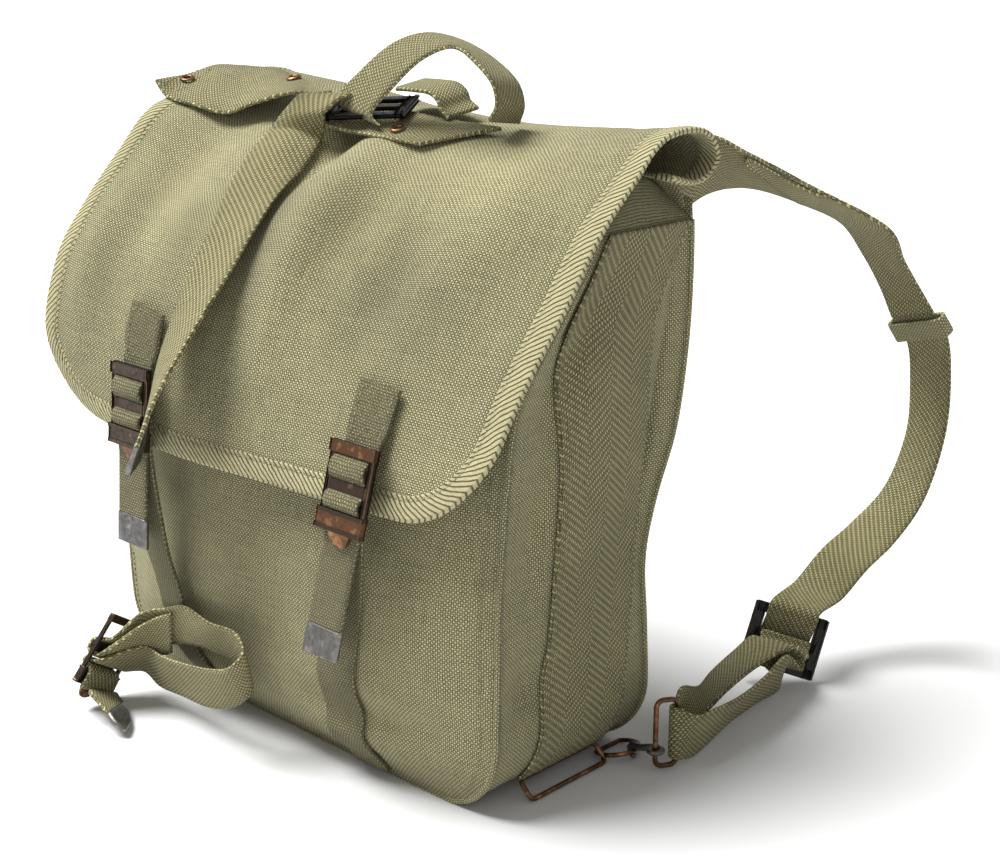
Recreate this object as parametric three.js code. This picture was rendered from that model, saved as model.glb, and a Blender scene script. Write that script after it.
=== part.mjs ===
// Canvas haversack with webbing straps, standing on its base.
// Millimetres, +X to the right as the front is seen, -Y out of the front with the two closures, +Z up.
// The origin is on the floor under the middle of the base.
import * as THREE from 'three';

// Driving sizes
const bagWidth = 300;
const bagDepth = 112;
const ridgeHeight = 333;
const flapRise = 47;
const seamHeight = ridgeHeight - flapRise;
const cornerRadius = 42;
const clothWall = 1.8;
const webbingWall = 2.2;
const clearance = 0.3;

// Flap
const flapWidth = 310;
const hemCornerRadius = 46;
const bindingWidth = 11;
const bindingWall = 3.4;

// Collar between the body seam and the flap
const collarRise = 22;
const collarLean = 14;

// Webbing widths
const sideWebbingWidth = 62;
const strapWidth = 30;
const closureWidth = 25;
const keeperHeight = 13;

// Closures: where each hangs across the bag, and how far its buckle starts above the hem
const rightClosureX = 83.5;
const leftClosureX = -69;
const rightBuckleFromHem = 27.5;
const leftBuckleFromHem = 38.5;
const tabLength = 33;
const tipLength = 16;
const tipWall = 3.2;
const tabLift = 1.9;
const restLift = 0.8;
const rightTailDrift = -17;
const leftTailDrift = -2;
const leftTipHeight = 107;
const rightTipHeight = 79.5;

// Closure buckle
const buckleLength = 40;
const buckleRail = 2.8;
const buckleWall = 2.2;
const buckleTabRadius = 8;
const buckleStand = 6.9;

// Wire fittings
const ringWire = 2.6;
const ringWidth = 58;
const ringDrop = 8.5;
const hookWire = 3;
const loopHeight = 38;
const loopWidth = 12;
const loopWire = 2.8;
const cornerRingRadius = 11.5;
const cornerRingInset = 7;
const cornerRingX = bagWidth / 2 - cornerRingInset;
const cornerRingY = 44;
const cornerRingRise = 4.2;
const ringInset = 12;
const eyeHeight = 12;

// Sliders on the shoulder straps
const sliderWidth = 40;
const sliderHeight = 34;
const sliderBar = 3.4;
const sliderWall = 2.4;

// Eyelets
const eyeletRadius = 4.4;
const eyeletHole = 2;
const eyeletWall = 0.8;
const eyeletSides = 8;

// Heights of the side seams: how far the front and back stand from the middle.
// up is a share of ridgeHeight, the others are shares of bagDepth.
const seamRows = [
  { up: 0.000, right: -0.500, left: -0.500, rear: 0.480, crown: 0.00, hollow: 0.00 },
  { up: 0.045, right: -0.515, left: -0.525, rear: 0.510, crown: 0.08, hollow: 0.02 },
  { up: 0.120, right: -0.515, left: -0.550, rear: 0.520, crown: 0.21, hollow: 0.04 },
  { up: 0.230, right: -0.505, left: -0.560, rear: 0.500, crown: 0.25, hollow: 0.05 },
  { up: 0.340, right: -0.500, left: -0.570, rear: 0.480, crown: 0.24, hollow: 0.05 },
  { up: 0.430, right: -0.480, left: -0.590, rear: 0.550, crown: 0.19, hollow: 0.05 },
  { up: 0.530, right: -0.450, left: -0.640, rear: 0.680, crown: 0.13, hollow: 0.04 },
  { up: 0.640, right: -0.380, left: -0.660, rear: 0.745, crown: 0.08, hollow: 0.03 },
  { up: 0.745, right: -0.140, left: -0.620, rear: 0.770, crown: 0.06, hollow: 0.02 },
  { up: 0.860, right: 0.130, left: -0.480, rear: 0.765, crown: 0.04, hollow: 0.01 },
  { up: 0.980, right: 0.350, left: -0.300, rear: 0.720, crown: 0.02, hollow: 0.00 },
];

// Dents and swellings of the front panel.
// x is a share of bagWidth, up of ridgeHeight, push (outward) of bagDepth.
const frontDents = [
  { x: 0.30, up: 0.13, wide: 0.20, tall: 0.030, push: -0.055 },
  { x: 0.20, up: 0.075, wide: 0.16, tall: 0.030, push: 0.035 },
  { x: -0.30, up: 0.16, wide: 0.14, tall: 0.070, push: 0.030 },
  { x: 0.02, up: 0.30, wide: 0.12, tall: 0.120, push: -0.030 },
  { x: 0.38, up: 0.30, wide: 0.06, tall: 0.100, push: 0.025 },
];

// Dents of the side gussets, pushed in from the side.
// across runs 0 at the front seam to 1 at the rear seam, up is a share of ridgeHeight.
const sideDents = [
  { across: 0.20, up: 0.66, wide: 0.13, tall: 0.13, push: 0.030 },
  { across: 0.17, up: 0.42, wide: 0.11, tall: 0.08, push: 0.022 },
  { across: 0.16, up: 0.20, wide: 0.14, tall: 0.045, push: 0.030 },
  { across: 0.90, up: 0.62, wide: 0.09, tall: 0.22, push: 0.016 },
  { across: 0.55, up: 0.50, wide: 0.22, tall: 0.20, push: -0.010 },
];

// Middle of the side webbing from bottom to top; back is a share of bagDepth.
const sideWebbingRows = [
  { up: 0.035, back: 0.010 },
  { up: 0.150, back: 0.060 },
  { up: 0.330, back: 0.110 },
  { up: 0.520, back: 0.170 },
  { up: 0.720, back: 0.210 },
  { up: 0.800, back: 0.350 },
  { up: 0.860, back: 0.460 },
];

// Sections of the flap from the back seam, over the rolled ridge, down to the hem.
// Each station has back (share of bagDepth) and up (share of ridgeHeight).
const flapStations = [-0.5, -0.2, 0.13, 0.5];
const flapRows = [
  { back: [0.56, 0.58, 0.58, 0.55], up: [0.931, 0.931, 0.928, 0.928] },
  { back: [0.67, 0.70, 0.70, 0.70], up: [0.919, 0.919, 0.916, 0.916] },
  { back: [0.77, 0.81, 0.81, 0.82], up: [0.928, 0.928, 0.925, 0.925] },
  { back: [0.82, 0.86, 0.87, 0.885], up: [0.952, 0.952, 0.950, 0.952] },
  { back: [0.77, 0.81, 0.81, 0.82], up: [0.985, 0.982, 0.972, 0.988] },
  { back: [0.63, 0.66, 0.67, 0.67], up: [1.030, 1.008, 0.978, 1.000] },
  { back: [0.42, 0.45, 0.46, 0.47], up: [1.035, 1.015, 0.979, 0.988] },
  { back: [0.10, 0.16, 0.20, 0.28], up: [1.015, 0.988, 0.967, 0.932] },
  { back: [-0.23, -0.14, -0.06, 0.06], up: [0.985, 0.947, 0.922, 0.863] },
  { back: [-0.45, -0.42, -0.32, -0.15], up: [0.915, 0.888, 0.850, 0.769] },
  { back: [-0.67, -0.66, -0.51, -0.37], up: [0.835, 0.795, 0.760, 0.682] },
  { back: [-0.84, -0.82, -0.64, -0.52], up: [0.755, 0.695, 0.665, 0.610] },
  { back: [-0.94, -0.89, -0.74, -0.64], up: [0.640, 0.590, 0.565, 0.545] },
  { back: [-0.93, -0.92, -0.80, -0.72], up: [0.530, 0.490, 0.478, 0.480] },
];

// Soft folds of the flap; across is a share of flapWidth, down a share of its length.
const flapDents = [
  { across: -0.09, down: 0.44, wide: 0.045, tall: 0.16, push: -0.050 },
  { across: 0.10, down: 0.56, wide: 0.070, tall: 0.13, push: -0.040 },
  { across: -0.33, down: 0.55, wide: 0.070, tall: 0.14, push: -0.045 },
  { across: 0.02, down: 0.60, wide: 0.050, tall: 0.20, push: 0.035 },
  { across: 0.33, down: 0.50, wide: 0.080, tall: 0.12, push: 0.030 },
  { across: -0.42, down: 0.75, wide: 0.060, tall: 0.14, push: 0.030 },
];

// Routes of the straps. x is a share of bagWidth, back of bagDepth, up of ridgeHeight:
// the middle of the strap. wx, wy, wz point across the strap and wide is its width
// as a share of strapWidth.
const rightPadRows = [
  { x: 0.230, back: 0.800, up: 0.770, wx: 18, wy: 0, wz: 57, wide: 1.93 },
  { x: 0.310, back: 0.808, up: 0.815, wx: 20, wy: -1, wz: 55, wide: 1.93 },
  { x: 0.385, back: 0.975, up: 0.868, wx: 25, wy: -18, wz: 49, wide: 1.93 },
  { x: 0.427, back: 1.071, up: 0.919, wx: 30, wy: -32, wz: 41, wide: 1.93 },
  { x: 0.453, back: 1.339, up: 0.907, wx: 35, wy: -41, wz: 25, wide: 1.93 },
  { x: 0.483, back: 1.741, up: 0.856, wx: 30, wy: -46, wz: 20, wide: 1.93 },
  { x: 0.553, back: 1.982, up: 0.802, wx: 46, wy: -20, wz: 3, wide: 1.60 },
  { x: 0.560, back: 2.143, up: 0.742, wx: 37, wy: -15, wz: 2, wide: 1.30 },
  { x: 0.577, back: 2.223, up: 0.694, wx: 31, wy: -11, wz: 8, wide: 1.08 },
  { x: 0.5995, back: 2.281, up: 0.6420, wx: 33, wy: -4, wz: 10, wide: 1 },
];
const rightStrapRows = [
  { x: 0.600, back: 2.285, up: 0.640, wx: 33, wy: -4, wz: 10, wide: 1 },
  { x: 0.620, back: 2.350, up: 0.598, wx: 29, wy: -4, wz: 7, wide: 1 },
  { x: 0.613, back: 2.455, up: 0.507, wx: 29, wy: -4, wz: 6, wide: 1 },
  { x: 0.603, back: 2.491, up: 0.408, wx: 29, wy: -5, wz: 5, wide: 1 },
  { x: 0.577, back: 2.428, up: 0.294, wx: 29, wy: -4, wz: -2, wide: 1 },
  { x: 0.543, back: 2.295, up: 0.225, wx: 28, wy: 2, wz: -7, wide: 1 },
  { x: 0.520, back: 2.125, up: 0.183, wx: 27, wy: 9, wz: -9, wide: 1 },
  { x: 0.508, back: 1.955, up: 0.140, wx: 25, wy: 15, wz: -10, wide: 1 },
];
// Through the slider: down is measured from its middle, out from its middle plane.
const sliderIn = [
  { down: -20, out: 4.6 }, { down: -14.5, out: 3.8 }, { down: -8, out: 0.4 }, { down: -1, out: -3.2 },
  { down: 5, out: -1.8 }, { down: 8.5, out: 2 }, { down: 13, out: 5.4 },
];
const sliderOut = [
  { down: 5, out: 10 }, { down: 3, out: 5.6 }, { down: 0.4, out: 3.6 }, { down: -2.6, out: 3.4 },
];
// From the slider down to the wire loop, and back up to the slider.
const lowerRunRows = [
  { x: 0.560, back: 1.437, up: 0.054, wx: 12, wy: -10, wz: 26, wide: 1 },
  { x: 0.577, back: 1.170, up: 0.051, wx: 14, wy: -11, wz: 24, wide: 1 },
  { x: 0.590, back: 0.911, up: 0.050, wx: 15, wy: -9, wz: 24, wide: 1 },
  { x: 0.603, back: 0.679, up: 0.052, wx: 11, wy: -4, wz: 27, wide: 1 },
  { x: 0.607, back: 0.518, up: 0.055, wx: 7, wy: -4, wz: 29, wide: 1 },
];
const upperRunRows = [
  { x: 0.571, back: 0.536, up: 0.078, wx: -5, wy: 8, wz: 28, wide: 1 },
  { x: 0.550, back: 0.821, up: 0.075, wx: -23, wy: 19, wz: -2, wide: 1 },
  { x: 0.533, back: 1.009, up: 0.078, wx: -26, wy: 15, wz: -5, wide: 1 },
  { x: 0.520, back: 1.268, up: 0.084, wx: -28, wy: 11, wz: -5, wide: 1 },
  { x: 0.527, back: 1.473, up: 0.093, wx: -30, wy: 0, wz: -2, wide: 1 },
];
const topLoopRows = [
  { x: -0.062, back: 0.075, up: 1.0075, wx: 29, wy: -1, wz: -6, wide: 1 },
  { x: -0.013, back: 0.107, up: 1.054, wx: 29, wy: -4, wz: -7, wide: 1 },
  { x: 0.053, back: 0.143, up: 1.099, wx: 28, wy: -8, wz: -7, wide: 1 },
  { x: 0.113, back: 0.179, up: 1.117, wx: 27, wy: -12, wz: -5, wide: 1 },
  { x: 0.157, back: 0.214, up: 1.111, wx: 20, wy: -20, wz: -2, wide: 1 },
  { x: 0.197, back: 0.250, up: 1.090, wx: 13, wy: -26, wz: 1, wide: 1 },
  { x: 0.233, back: 0.286, up: 1.057, wx: 9, wy: -28, wz: 3, wide: 1 },
  { x: 0.232, back: 0.321, up: 1.024, wx: 8, wy: -29, wz: 3, wide: 1 },
  { x: 0.205, back: 0.357, up: 0.996, wx: 6, wy: -29, wz: 4, wide: 1 },
];
const lowLoopRows = [
  { x: -0.310, back: -0.860, up: 0.081, wx: 16, wy: -10, wz: 24, wide: 1 },
  { x: -0.247, back: -0.875, up: 0.078, wx: 13, wy: -8, wz: 26, wide: 1 },
  { x: -0.173, back: -0.895, up: 0.087, wx: 10, wy: -9, wz: 27, wide: 1 },
  { x: -0.062, back: -0.925, up: 0.106, wx: 8, wy: -7, wz: 28, wide: 1 },
  { x: 0.018, back: -0.935, up: 0.137, wx: 6, wy: -11, wz: 27, wide: 1 },
  { x: 0.035, back: -0.900, up: 0.165, wx: 8, wy: -11, wz: 26, wide: 1 },
  { x: -0.010, back: -0.874, up: 0.185, wx: 13, wy: -9, wz: 24, wide: 1 },
  { x: -0.100, back: -0.874, up: 0.185, wx: 19, wy: -7, wz: 22, wide: 1 },
];

// The two pads on the ridge, near edge and far edge.
const leftPadRows = [
  { x: -0.537, back: -0.161, up: 1.027, farX: -0.573, farBack: 0.134, farUp: 1.027 },
  { x: -0.507, back: -0.161, up: 1.003, farX: -0.553, farBack: 0.250, farUp: 1.042 },
  { x: -0.433, back: -0.143, up: 0.982, farX: -0.490, farBack: 0.286, farUp: 1.045 },
  { x: -0.347, back: -0.107, up: 0.976, farX: -0.440, farBack: 0.304, farUp: 1.045 },
  { x: -0.293, back: -0.054, up: 1.000, farX: -0.387, farBack: 0.304, farUp: 1.045 },
  { x: -0.193, back: 0.000, up: 1.024, farX: -0.293, farBack: 0.223, farUp: 1.039 },
  { x: -0.147, back: 0.018, up: 1.024, farX: -0.140, farBack: 0.125, farUp: 1.024 },
];
const padEndRows = [
  { x: -0.133, back: 0.018, up: 0.976, farX: -0.140, farBack: 0.304, farUp: 0.997 },
  { x: -0.073, back: 0.036, up: 0.961, farX: -0.067, farBack: 0.321, farUp: 0.991 },
  { x: 0.027, back: 0.054, up: 0.956, farX: 0.050, farBack: 0.339, farUp: 0.988 },
  { x: 0.100, back: 0.071, up: 0.956, farX: 0.207, farBack: 0.339, farUp: 0.986 },
];
// Folded keeper behind the top loop.
const topKeeperRows = [
  { x: -0.068, back: 0.455, up: 1.034, wx: -4, wy: 27, wz: 3, wide: 0.9 },
  { x: -0.010, back: 0.430, up: 1.036, wx: -4, wy: 27, wz: 3, wide: 0.9 },
  { x: 0.035, back: 0.420, up: 1.034, wx: -4, wy: 27, wz: 3, wide: 0.9 },
  { x: 0.056, back: 0.415, up: 1.024, wx: -4, wy: 27, wz: 3, wide: 0.9 },
  { x: 0.066, back: 0.412, up: 1.010, wx: -4, wy: 27, wz: 3, wide: 0.9 },
  { x: 0.086, back: 0.410, up: 0.9995, wx: -3, wy: 27, wz: 3, wide: 0.9 },
];
// Long end of the left strap over the flap: across is a share of flapWidth, fromHem and out are
// lengths, and tilt is how many degrees its right edge stands off the flap.
const flapStrapRows = [
  { across: -0.170, fromHem: 197, out: 3.4, tilt: 0 },
  { across: -0.163, fromHem: 191, out: 3.4, tilt: 0 },
  { across: -0.147, fromHem: 171, out: 3.4, tilt: 0 },
  { across: -0.127, fromHem: 147, out: 3.6, tilt: 2 },
  { across: -0.114, fromHem: 127, out: 4.2, tilt: 5 },
  { across: -0.110, fromHem: 112.5, out: 5, tilt: 8 },
  { across: -0.110, fromHem: 98.5, out: 6.4, tilt: 11 },
  { across: -0.112, fromHem: 81, out: 9.5, tilt: 20 },
  { across: -0.115, fromHem: 62, out: 14.5, tilt: 31 },
  { across: -0.123, fromHem: 45.5, out: 19, tilt: 40 },
  { across: -0.130, fromHem: 32.5, out: 21, tilt: 46 },
  { across: -0.138, fromHem: 20, out: 22, tilt: 50 },
  { across: -0.144, fromHem: 12, out: 22.5, tilt: 52 },
];
// The low loop of strap: its free end, the end sewn down, and its ways through the buckle.
const lowTailRows = [
  { x: -0.280, back: -1.095, up: 0.024, wx: -17, wy: 20, wz: -7, wide: 1 },
  { x: -0.305, back: -1.085, up: 0.029, wx: -15, wy: 21, wz: -9, wide: 1 },
  { x: -0.332, back: -1.075, up: 0.035, wx: -10, wy: 23, wz: -13, wide: 1 },
];
const lowTipRows = [
  { x: -0.278, back: -1.097, up: 0.0235, wx: -17, wy: 20, wz: -7, wide: 1.02 },
  { x: -0.252, back: -1.112, up: 0.018, wx: -18, wy: 20, wz: -5, wide: 0.9 },
  { x: -0.222, back: -1.130, up: 0.012, wx: -19, wy: 20, wz: -3, wide: 0.45 },
];
const lowHumpRoute = [
  { down: 42, out: 4.6 }, { down: 36, out: 4.2 }, { down: 31, out: 3.6 }, { down: 29.2, out: 1 },
  { down: 28.9, out: -2 }, { down: 27.3, out: -4 }, { down: 25.7, out: -2 }, { down: 25.5, out: 1 },
  { down: 24.6, out: 4.6 },
];
const lowCurlRoute = [
  { down: 10, out: 6 }, { down: 12, out: 2.5 }, { down: 13.6, out: -1.5 }, { down: 15.4, out: -4.6 },
  { down: 18.5, out: -5.4 }, { down: 21.4, out: -4.4 }, { down: 22.4, out: -1.5 }, { down: 22, out: 2.5 },
];
const lowBackRows = [
  { x: -0.187, back: -0.8415, up: 0.174, wx: 10, wy: -4, wz: 27, wide: 1 },
  { x: -0.247, back: -0.838, up: 0.156, wx: 12, wy: -4, wz: 26, wide: 1 },
  { x: -0.300, back: -0.856, up: 0.138, wx: 10, wy: -10, wz: 25, wide: 1 },
];
const lowEndRows = [
  { x: -0.287, back: -0.902, up: 0.123, wx: 12, wy: -9, wz: 25, wide: 1 },
  { x: -0.247, back: -0.884, up: 0.141, wx: 9, wy: -5, wz: 27, wide: 1 },
  { x: -0.207, back: -0.870, up: 0.156, wx: 8, wy: -4, wz: 27, wide: 1 },
];

// Interpolation through a table: a smooth curve with straight ends.
function smoothThrough(xs, ys) {
  const last = xs.length - 1;
  const slopes = xs.map((x, i) => {
    const before = Math.max(i - 1, 0);
    const after = Math.min(i + 1, last);
    return (ys[after] - ys[before]) / (xs[after] - xs[before]);
  });
  return (x) => {
    let i = 0;
    while (i < last - 1 && x > xs[i + 1]) i += 1;
    const span = xs[i + 1] - xs[i];
    const t = THREE.MathUtils.clamp((x - xs[i]) / span, 0, 1);
    const start = (2 * t ** 3 - 3 * t ** 2 + 1) * ys[i] + (t ** 3 - 2 * t ** 2 + t) * span * slopes[i];
    return start + (3 * t ** 2 - 2 * t ** 3) * ys[i + 1] + (t ** 3 - t ** 2) * span * slopes[i + 1];
  };
}

const columnOf = (rows, key) => rows.map((row) => row[key]);
const lerp = THREE.MathUtils.lerp;
const hill = (distance) => Math.exp(-distance * distance);

// Meshes
const palette = {
  canvas: { color: 0x8b8760, roughness: 0.92, metalness: 0 },
  webbing: { color: 0x8d8a58, roughness: 0.9, metalness: 0 },
  bronze: { color: 0x4a3a30, roughness: 0.45, metalness: 0.8 },
  steel: { color: 0x7c7c78, roughness: 0.4, metalness: 0.85 },
  copper: { color: 0x9a5f3d, roughness: 0.4, metalness: 0.85 },
};
const haversack = new THREE.Group();

function addPiece(name, geometry, finish) {
  const piece = new THREE.Mesh(geometry, new THREE.MeshStandardMaterial(palette[finish]));
  piece.name = name;
  haversack.add(piece);
}

function meshFrom(points, triangles) {
  const geometry = new THREE.BufferGeometry();
  geometry.setAttribute('position', new THREE.Float32BufferAttribute(points.flatMap((p) => [p.x, p.y, p.z]), 3));
  geometry.setIndex(triangles);
  geometry.computeVertexNormals();
  return geometry;
}

// A closed wall between two grids of points, outer and inner, of rows by columns.
function wallBetween(outer, inner) {
  const rows = outer.length;
  const columns = outer[0].length;
  const points = [...outer.flat(), ...inner.flat()];
  const offset = rows * columns;
  const triangles = [];
  const quad = (a, b, c, d) => triangles.push(a, b, c, a, c, d);
  const at = (i, j) => i * columns + j;
  for (let i = 0; i < rows - 1; i += 1) {
    for (let j = 0; j < columns - 1; j += 1) {
      quad(at(i, j), at(i, j + 1), at(i + 1, j + 1), at(i + 1, j));
      quad(offset + at(i, j), offset + at(i + 1, j), offset + at(i + 1, j + 1), offset + at(i, j + 1));
    }
  }
  for (let j = 0; j < columns - 1; j += 1) {
    quad(at(0, j + 1), at(0, j), offset + at(0, j), offset + at(0, j + 1));
    quad(at(rows - 1, j), at(rows - 1, j + 1), offset + at(rows - 1, j + 1), offset + at(rows - 1, j));
  }
  for (let i = 0; i < rows - 1; i += 1) {
    quad(at(i, 0), at(i + 1, 0), offset + at(i + 1, 0), offset + at(i, 0));
    quad(at(i + 1, columns - 1), at(i, columns - 1), offset + at(i, columns - 1), offset + at(i + 1, columns - 1));
  }
  const solid = meshFrom(points, triangles);
  return volumeOf(solid) < 0 ? meshFrom(points, triangles.reverse()) : solid;
}

function volumeOf(geometry) {
  const position = geometry.getAttribute('position');
  const index = geometry.getIndex();
  const a = new THREE.Vector3();
  const b = new THREE.Vector3();
  const c = new THREE.Vector3();
  let total = 0;
  for (let i = 0; i < index.count; i += 3) {
    a.fromBufferAttribute(position, index.getX(i));
    b.fromBufferAttribute(position, index.getX(i + 1));
    c.fromBufferAttribute(position, index.getX(i + 2));
    total += a.dot(b.cross(c)) / 6;
  }
  return total;
}

function gridOf(rows, columns, pointAt) {
  return Array.from({ length: rows + 1 }, (_, i) => (
    Array.from({ length: columns + 1 }, (__, j) => pointAt(i / rows, j / columns))
  ));
}

// Unit normals of a grid of points, side +1 or -1 of the surface.
function normalsOf(grid, side) {
  const rows = grid.length - 1;
  const columns = grid[0].length - 1;
  return grid.map((line, i) => line.map((point, j) => {
    const along = grid[Math.min(i + 1, rows)][j].clone().sub(grid[Math.max(i - 1, 0)][j]);
    const across = line[Math.min(j + 1, columns)].clone().sub(line[Math.max(j - 1, 0)]);
    return along.cross(across).normalize().multiplyScalar(side);
  }));
}

const shifted = (grid, normals, distance) => grid.map((line, i) => (
  line.map((point, j) => point.clone().addScaledVector(normals[i][j], distance))
));

// Body: front panel, gusset and back panel share one outline with rounded lower corners
const seamUps = columnOf(seamRows, 'up');
const seamCurve = Object.fromEntries(['right', 'left', 'rear', 'crown', 'hollow'].map((key) => (
  [key, smoothThrough(seamUps, columnOf(seamRows, key))]
)));

function panelHalfWidth(z) {
  const drop = Math.max(cornerRadius - z, 0);
  return bagWidth / 2 - cornerRadius + Math.sqrt(Math.max(cornerRadius ** 2 - drop ** 2, 0));
}

const inboard = (x, z) => 1 - Math.min(Math.abs(x) / panelHalfWidth(z), 1) ** 2.6;

function dentDepth(rows, across, up, key) {
  return rows.reduce((sum, row) => {
    const reach = hill((across - row[key]) / row.wide) * hill((up - row.up) / row.tall);
    return sum + row.push * reach;
  }, 0);
}

function frontY(x, z) {
  const up = z / ridgeHeight;
  const share = THREE.MathUtils.smoothstep(x / bagWidth, -0.5, 0.5);
  const seam = lerp(seamCurve.left(up), seamCurve.right(up), share);
  const dents = dentDepth(frontDents, x / bagWidth, up, 'x');
  return bagDepth * (seam - (seamCurve.crown(up) + dents) * inboard(x, z));
}

function rearY(x, z) {
  const up = z / ridgeHeight;
  return bagDepth * (seamCurve.rear(up) + seamCurve.hollow(up) * inboard(x, z));
}

// Heights of the rows of a panel and of the gusset: close together round the lower corners.
const cornerSteps = 6;
const sideSteps = 11;
const cornerHeight = (step) => cornerRadius * (1 - Math.cos((Math.PI / 2) * (step / cornerSteps)));
const sideHeight = (step) => lerp(cornerRadius, seamHeight, step / sideSteps);
const seamHeights = [
  ...Array.from({ length: cornerSteps + 1 }, (_, i) => cornerHeight(i)),
  ...Array.from({ length: sideSteps }, (_, i) => sideHeight(i + 1)),
];

function addPanel(name, heights, faceY, inward, columns) {
  const face = heights.map((z) => (
    Array.from({ length: columns + 1 }, (_, j) => {
      const x = lerp(-1, 1, j / columns) * panelHalfWidth(z);
      return new THREE.Vector3(x, faceY(x, z), z);
    })
  ));
  const back = face.map((line) => line.map((p) => new THREE.Vector3(p.x, p.y + inward * clothWall, p.z)));
  addPiece(name, wallBetween(face, back), 'canvas');
}

const backPanelTop = seamHeight + 0.5 * collarRise;
addPanel('front_panel', seamHeights, frontY, 1, 14);
addPanel('back_panel', [...seamHeights, backPanelTop], rearY, -1, 10);

// Outline of the gusset from the top right, round the bottom, to the top left.
function gussetOutline(baseSteps) {
  const half = bagWidth / 2;
  const right = [];
  for (let i = sideSteps; i > 0; i -= 1) {
    right.push({ x: half, z: sideHeight(i), turn: 0 });
  }
  for (let i = cornerSteps; i > 0; i -= 1) {
    const z = cornerHeight(i);
    right.push({ x: panelHalfWidth(z), z, turn: Math.asin(1 - z / cornerRadius) });
  }
  const base = Array.from({ length: baseSteps + 1 }, (_, i) => (
    { x: lerp(half - cornerRadius, cornerRadius - half, i / baseSteps), z: 0, turn: Math.PI / 2 }
  ));
  const left = right.map((p) => ({ x: -p.x, z: p.z, turn: Math.PI - p.turn })).reverse();
  return [...right, ...base, ...left];
}

// Depth of the inward dent of the gusset at a place on its outline.
function sideDent(z, across) {
  const fade = THREE.MathUtils.smoothstep(z, 0, cornerRadius);
  const edge = Math.sin(Math.PI * THREE.MathUtils.clamp(across, 0, 1)) ** 0.5;
  return bagWidth * dentDepth(sideDents, across, z / ridgeHeight, 'across') * fade * edge;
}

function gussetPoint(place, across, outset) {
  const front = frontY(place.x, place.z) + clothWall + clearance;
  const rear = rearY(place.x, place.z) - clothWall - clearance;
  const reach = outset - sideDent(place.z, across);
  return new THREE.Vector3(
    place.x + Math.cos(place.turn) * reach,
    lerp(front, rear, across),
    place.z - Math.sin(place.turn) * reach,
  );
}

// Wide webbing sewn down the middle of each side; the gusset has a column of points under each
// edge of it, so that the two lie flat on each other.
const webbingBack = smoothThrough(columnOf(sideWebbingRows, 'up'), columnOf(sideWebbingRows, 'back'));
const webbingColumns = 4;

function sideAcross(place, y) {
  const front = frontY(place.x, place.z) + clothWall + clearance;
  const rear = rearY(place.x, place.z) - clothWall - clearance;
  return (y - front) / (rear - front);
}

function webbingAcross(place) {
  const middle = webbingBack(place.z / ridgeHeight) * bagDepth;
  const [front, rear] = [-0.5, 0.5].map((share) => sideAcross(place, middle + share * sideWebbingWidth));
  return Array.from({ length: webbingColumns + 1 }, (_, j) => lerp(front, rear, j / webbingColumns));
}

function gussetAcross(place) {
  const inner = webbingAcross(place);
  return [0, inner[0] / 2, ...inner, (1 + inner[webbingColumns]) / 2, 1];
}

const outline = gussetOutline(7);
const gussetFace = (outset) => outline.map((place) => (
  gussetAcross(place).map((across) => gussetPoint(place, across, outset))
));
addPiece('gusset', wallBetween(gussetFace(0), gussetFace(-clothWall)), 'canvas');

const webbingFoot = cornerHeight(3);
for (const [name, hand] of [['side_webbing_right', 1], ['side_webbing_left', -1]]) {
  const places = outline.filter((place) => place.x * hand > 0 && place.z > webbingFoot - clearance);
  const face = (outset) => places.map((place) => (
    webbingAcross(place).map((across) => gussetPoint(place, across, outset))
  ));
  addPiece(name, wallBetween(face(clearance + webbingWall), face(clearance)), 'webbing');
}

// Collar standing on the seam along the sides and the front, leaning in under the flap.
// inset runs from the outer face of its cloth to the inner one.
function collarPoint(along, rise, inset) {
  const half = bagWidth / 2;
  const leg = Math.min(Math.floor(along * 3), 2);
  const part = along * 3 - leg;
  const hand = leg === 2 ? -1 : 1;
  const side = leg !== 1;
  const x = THREE.MathUtils.clamp(side ? hand * half : lerp(half, -half, part), inset - half, half - inset);
  const share = leg === 0 ? 1 - part : part;
  const tall = side ? lerp(0.75, 0.6, share) + 0.35 * Math.sin(Math.PI * share) : 0.75;
  const height = seamHeight + clearance + rise * tall * collarRise;
  const front = frontY(x, seamHeight);
  const rear = rearY(x, height) - clothWall - clearance;
  const y = Math.max(side ? lerp(front, rear, share) : front, front + inset);
  const frontLean = side ? 1 - share : 1;
  return new THREE.Vector3(
    x * (1 - (rise * 2.2 * collarLean) / bagWidth),
    y + rise * frontLean * 1.7 * collarLean,
    height,
  );
}
const collarFace = (inset) => gridOf(27, 2, (along, rise) => collarPoint(along, rise, inset));
addPiece('collar', wallBetween(collarFace(0), collarFace(clothWall)), 'canvas');

// Flap
const flapCurve = ['back', 'up'].map((key) => flapStations.map((_, s) => (
  smoothThrough(flapRows.map((__, i) => i), flapRows.map((row) => row[key][s]))
)));
const flapSections = new Map();

// The section of the flap at one place across it, with the distance run at each step.
function flapSection(across) {
  const key = across.toFixed(5);
  if (!flapSections.has(key)) {
    const steps = 78;
    const line = Array.from({ length: steps + 1 }, (_, i) => {
      const row = (i / steps) * (flapRows.length - 1);
      const [back, up] = flapCurve.map((curves) => (
        smoothThrough(flapStations, curves.map((curve) => curve(row)))(across)
      ));
      return { y: back * bagDepth, z: up * ridgeHeight, run: 0 };
    });
    for (let i = 1; i <= steps; i += 1) {
      line[i].run = line[i - 1].run + Math.hypot(line[i].y - line[i - 1].y, line[i].z - line[i - 1].z);
    }
    flapSections.set(key, line);
  }
  return flapSections.get(key);
}

const flapLength = (across) => flapSection(across).at(-1).run;

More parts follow.
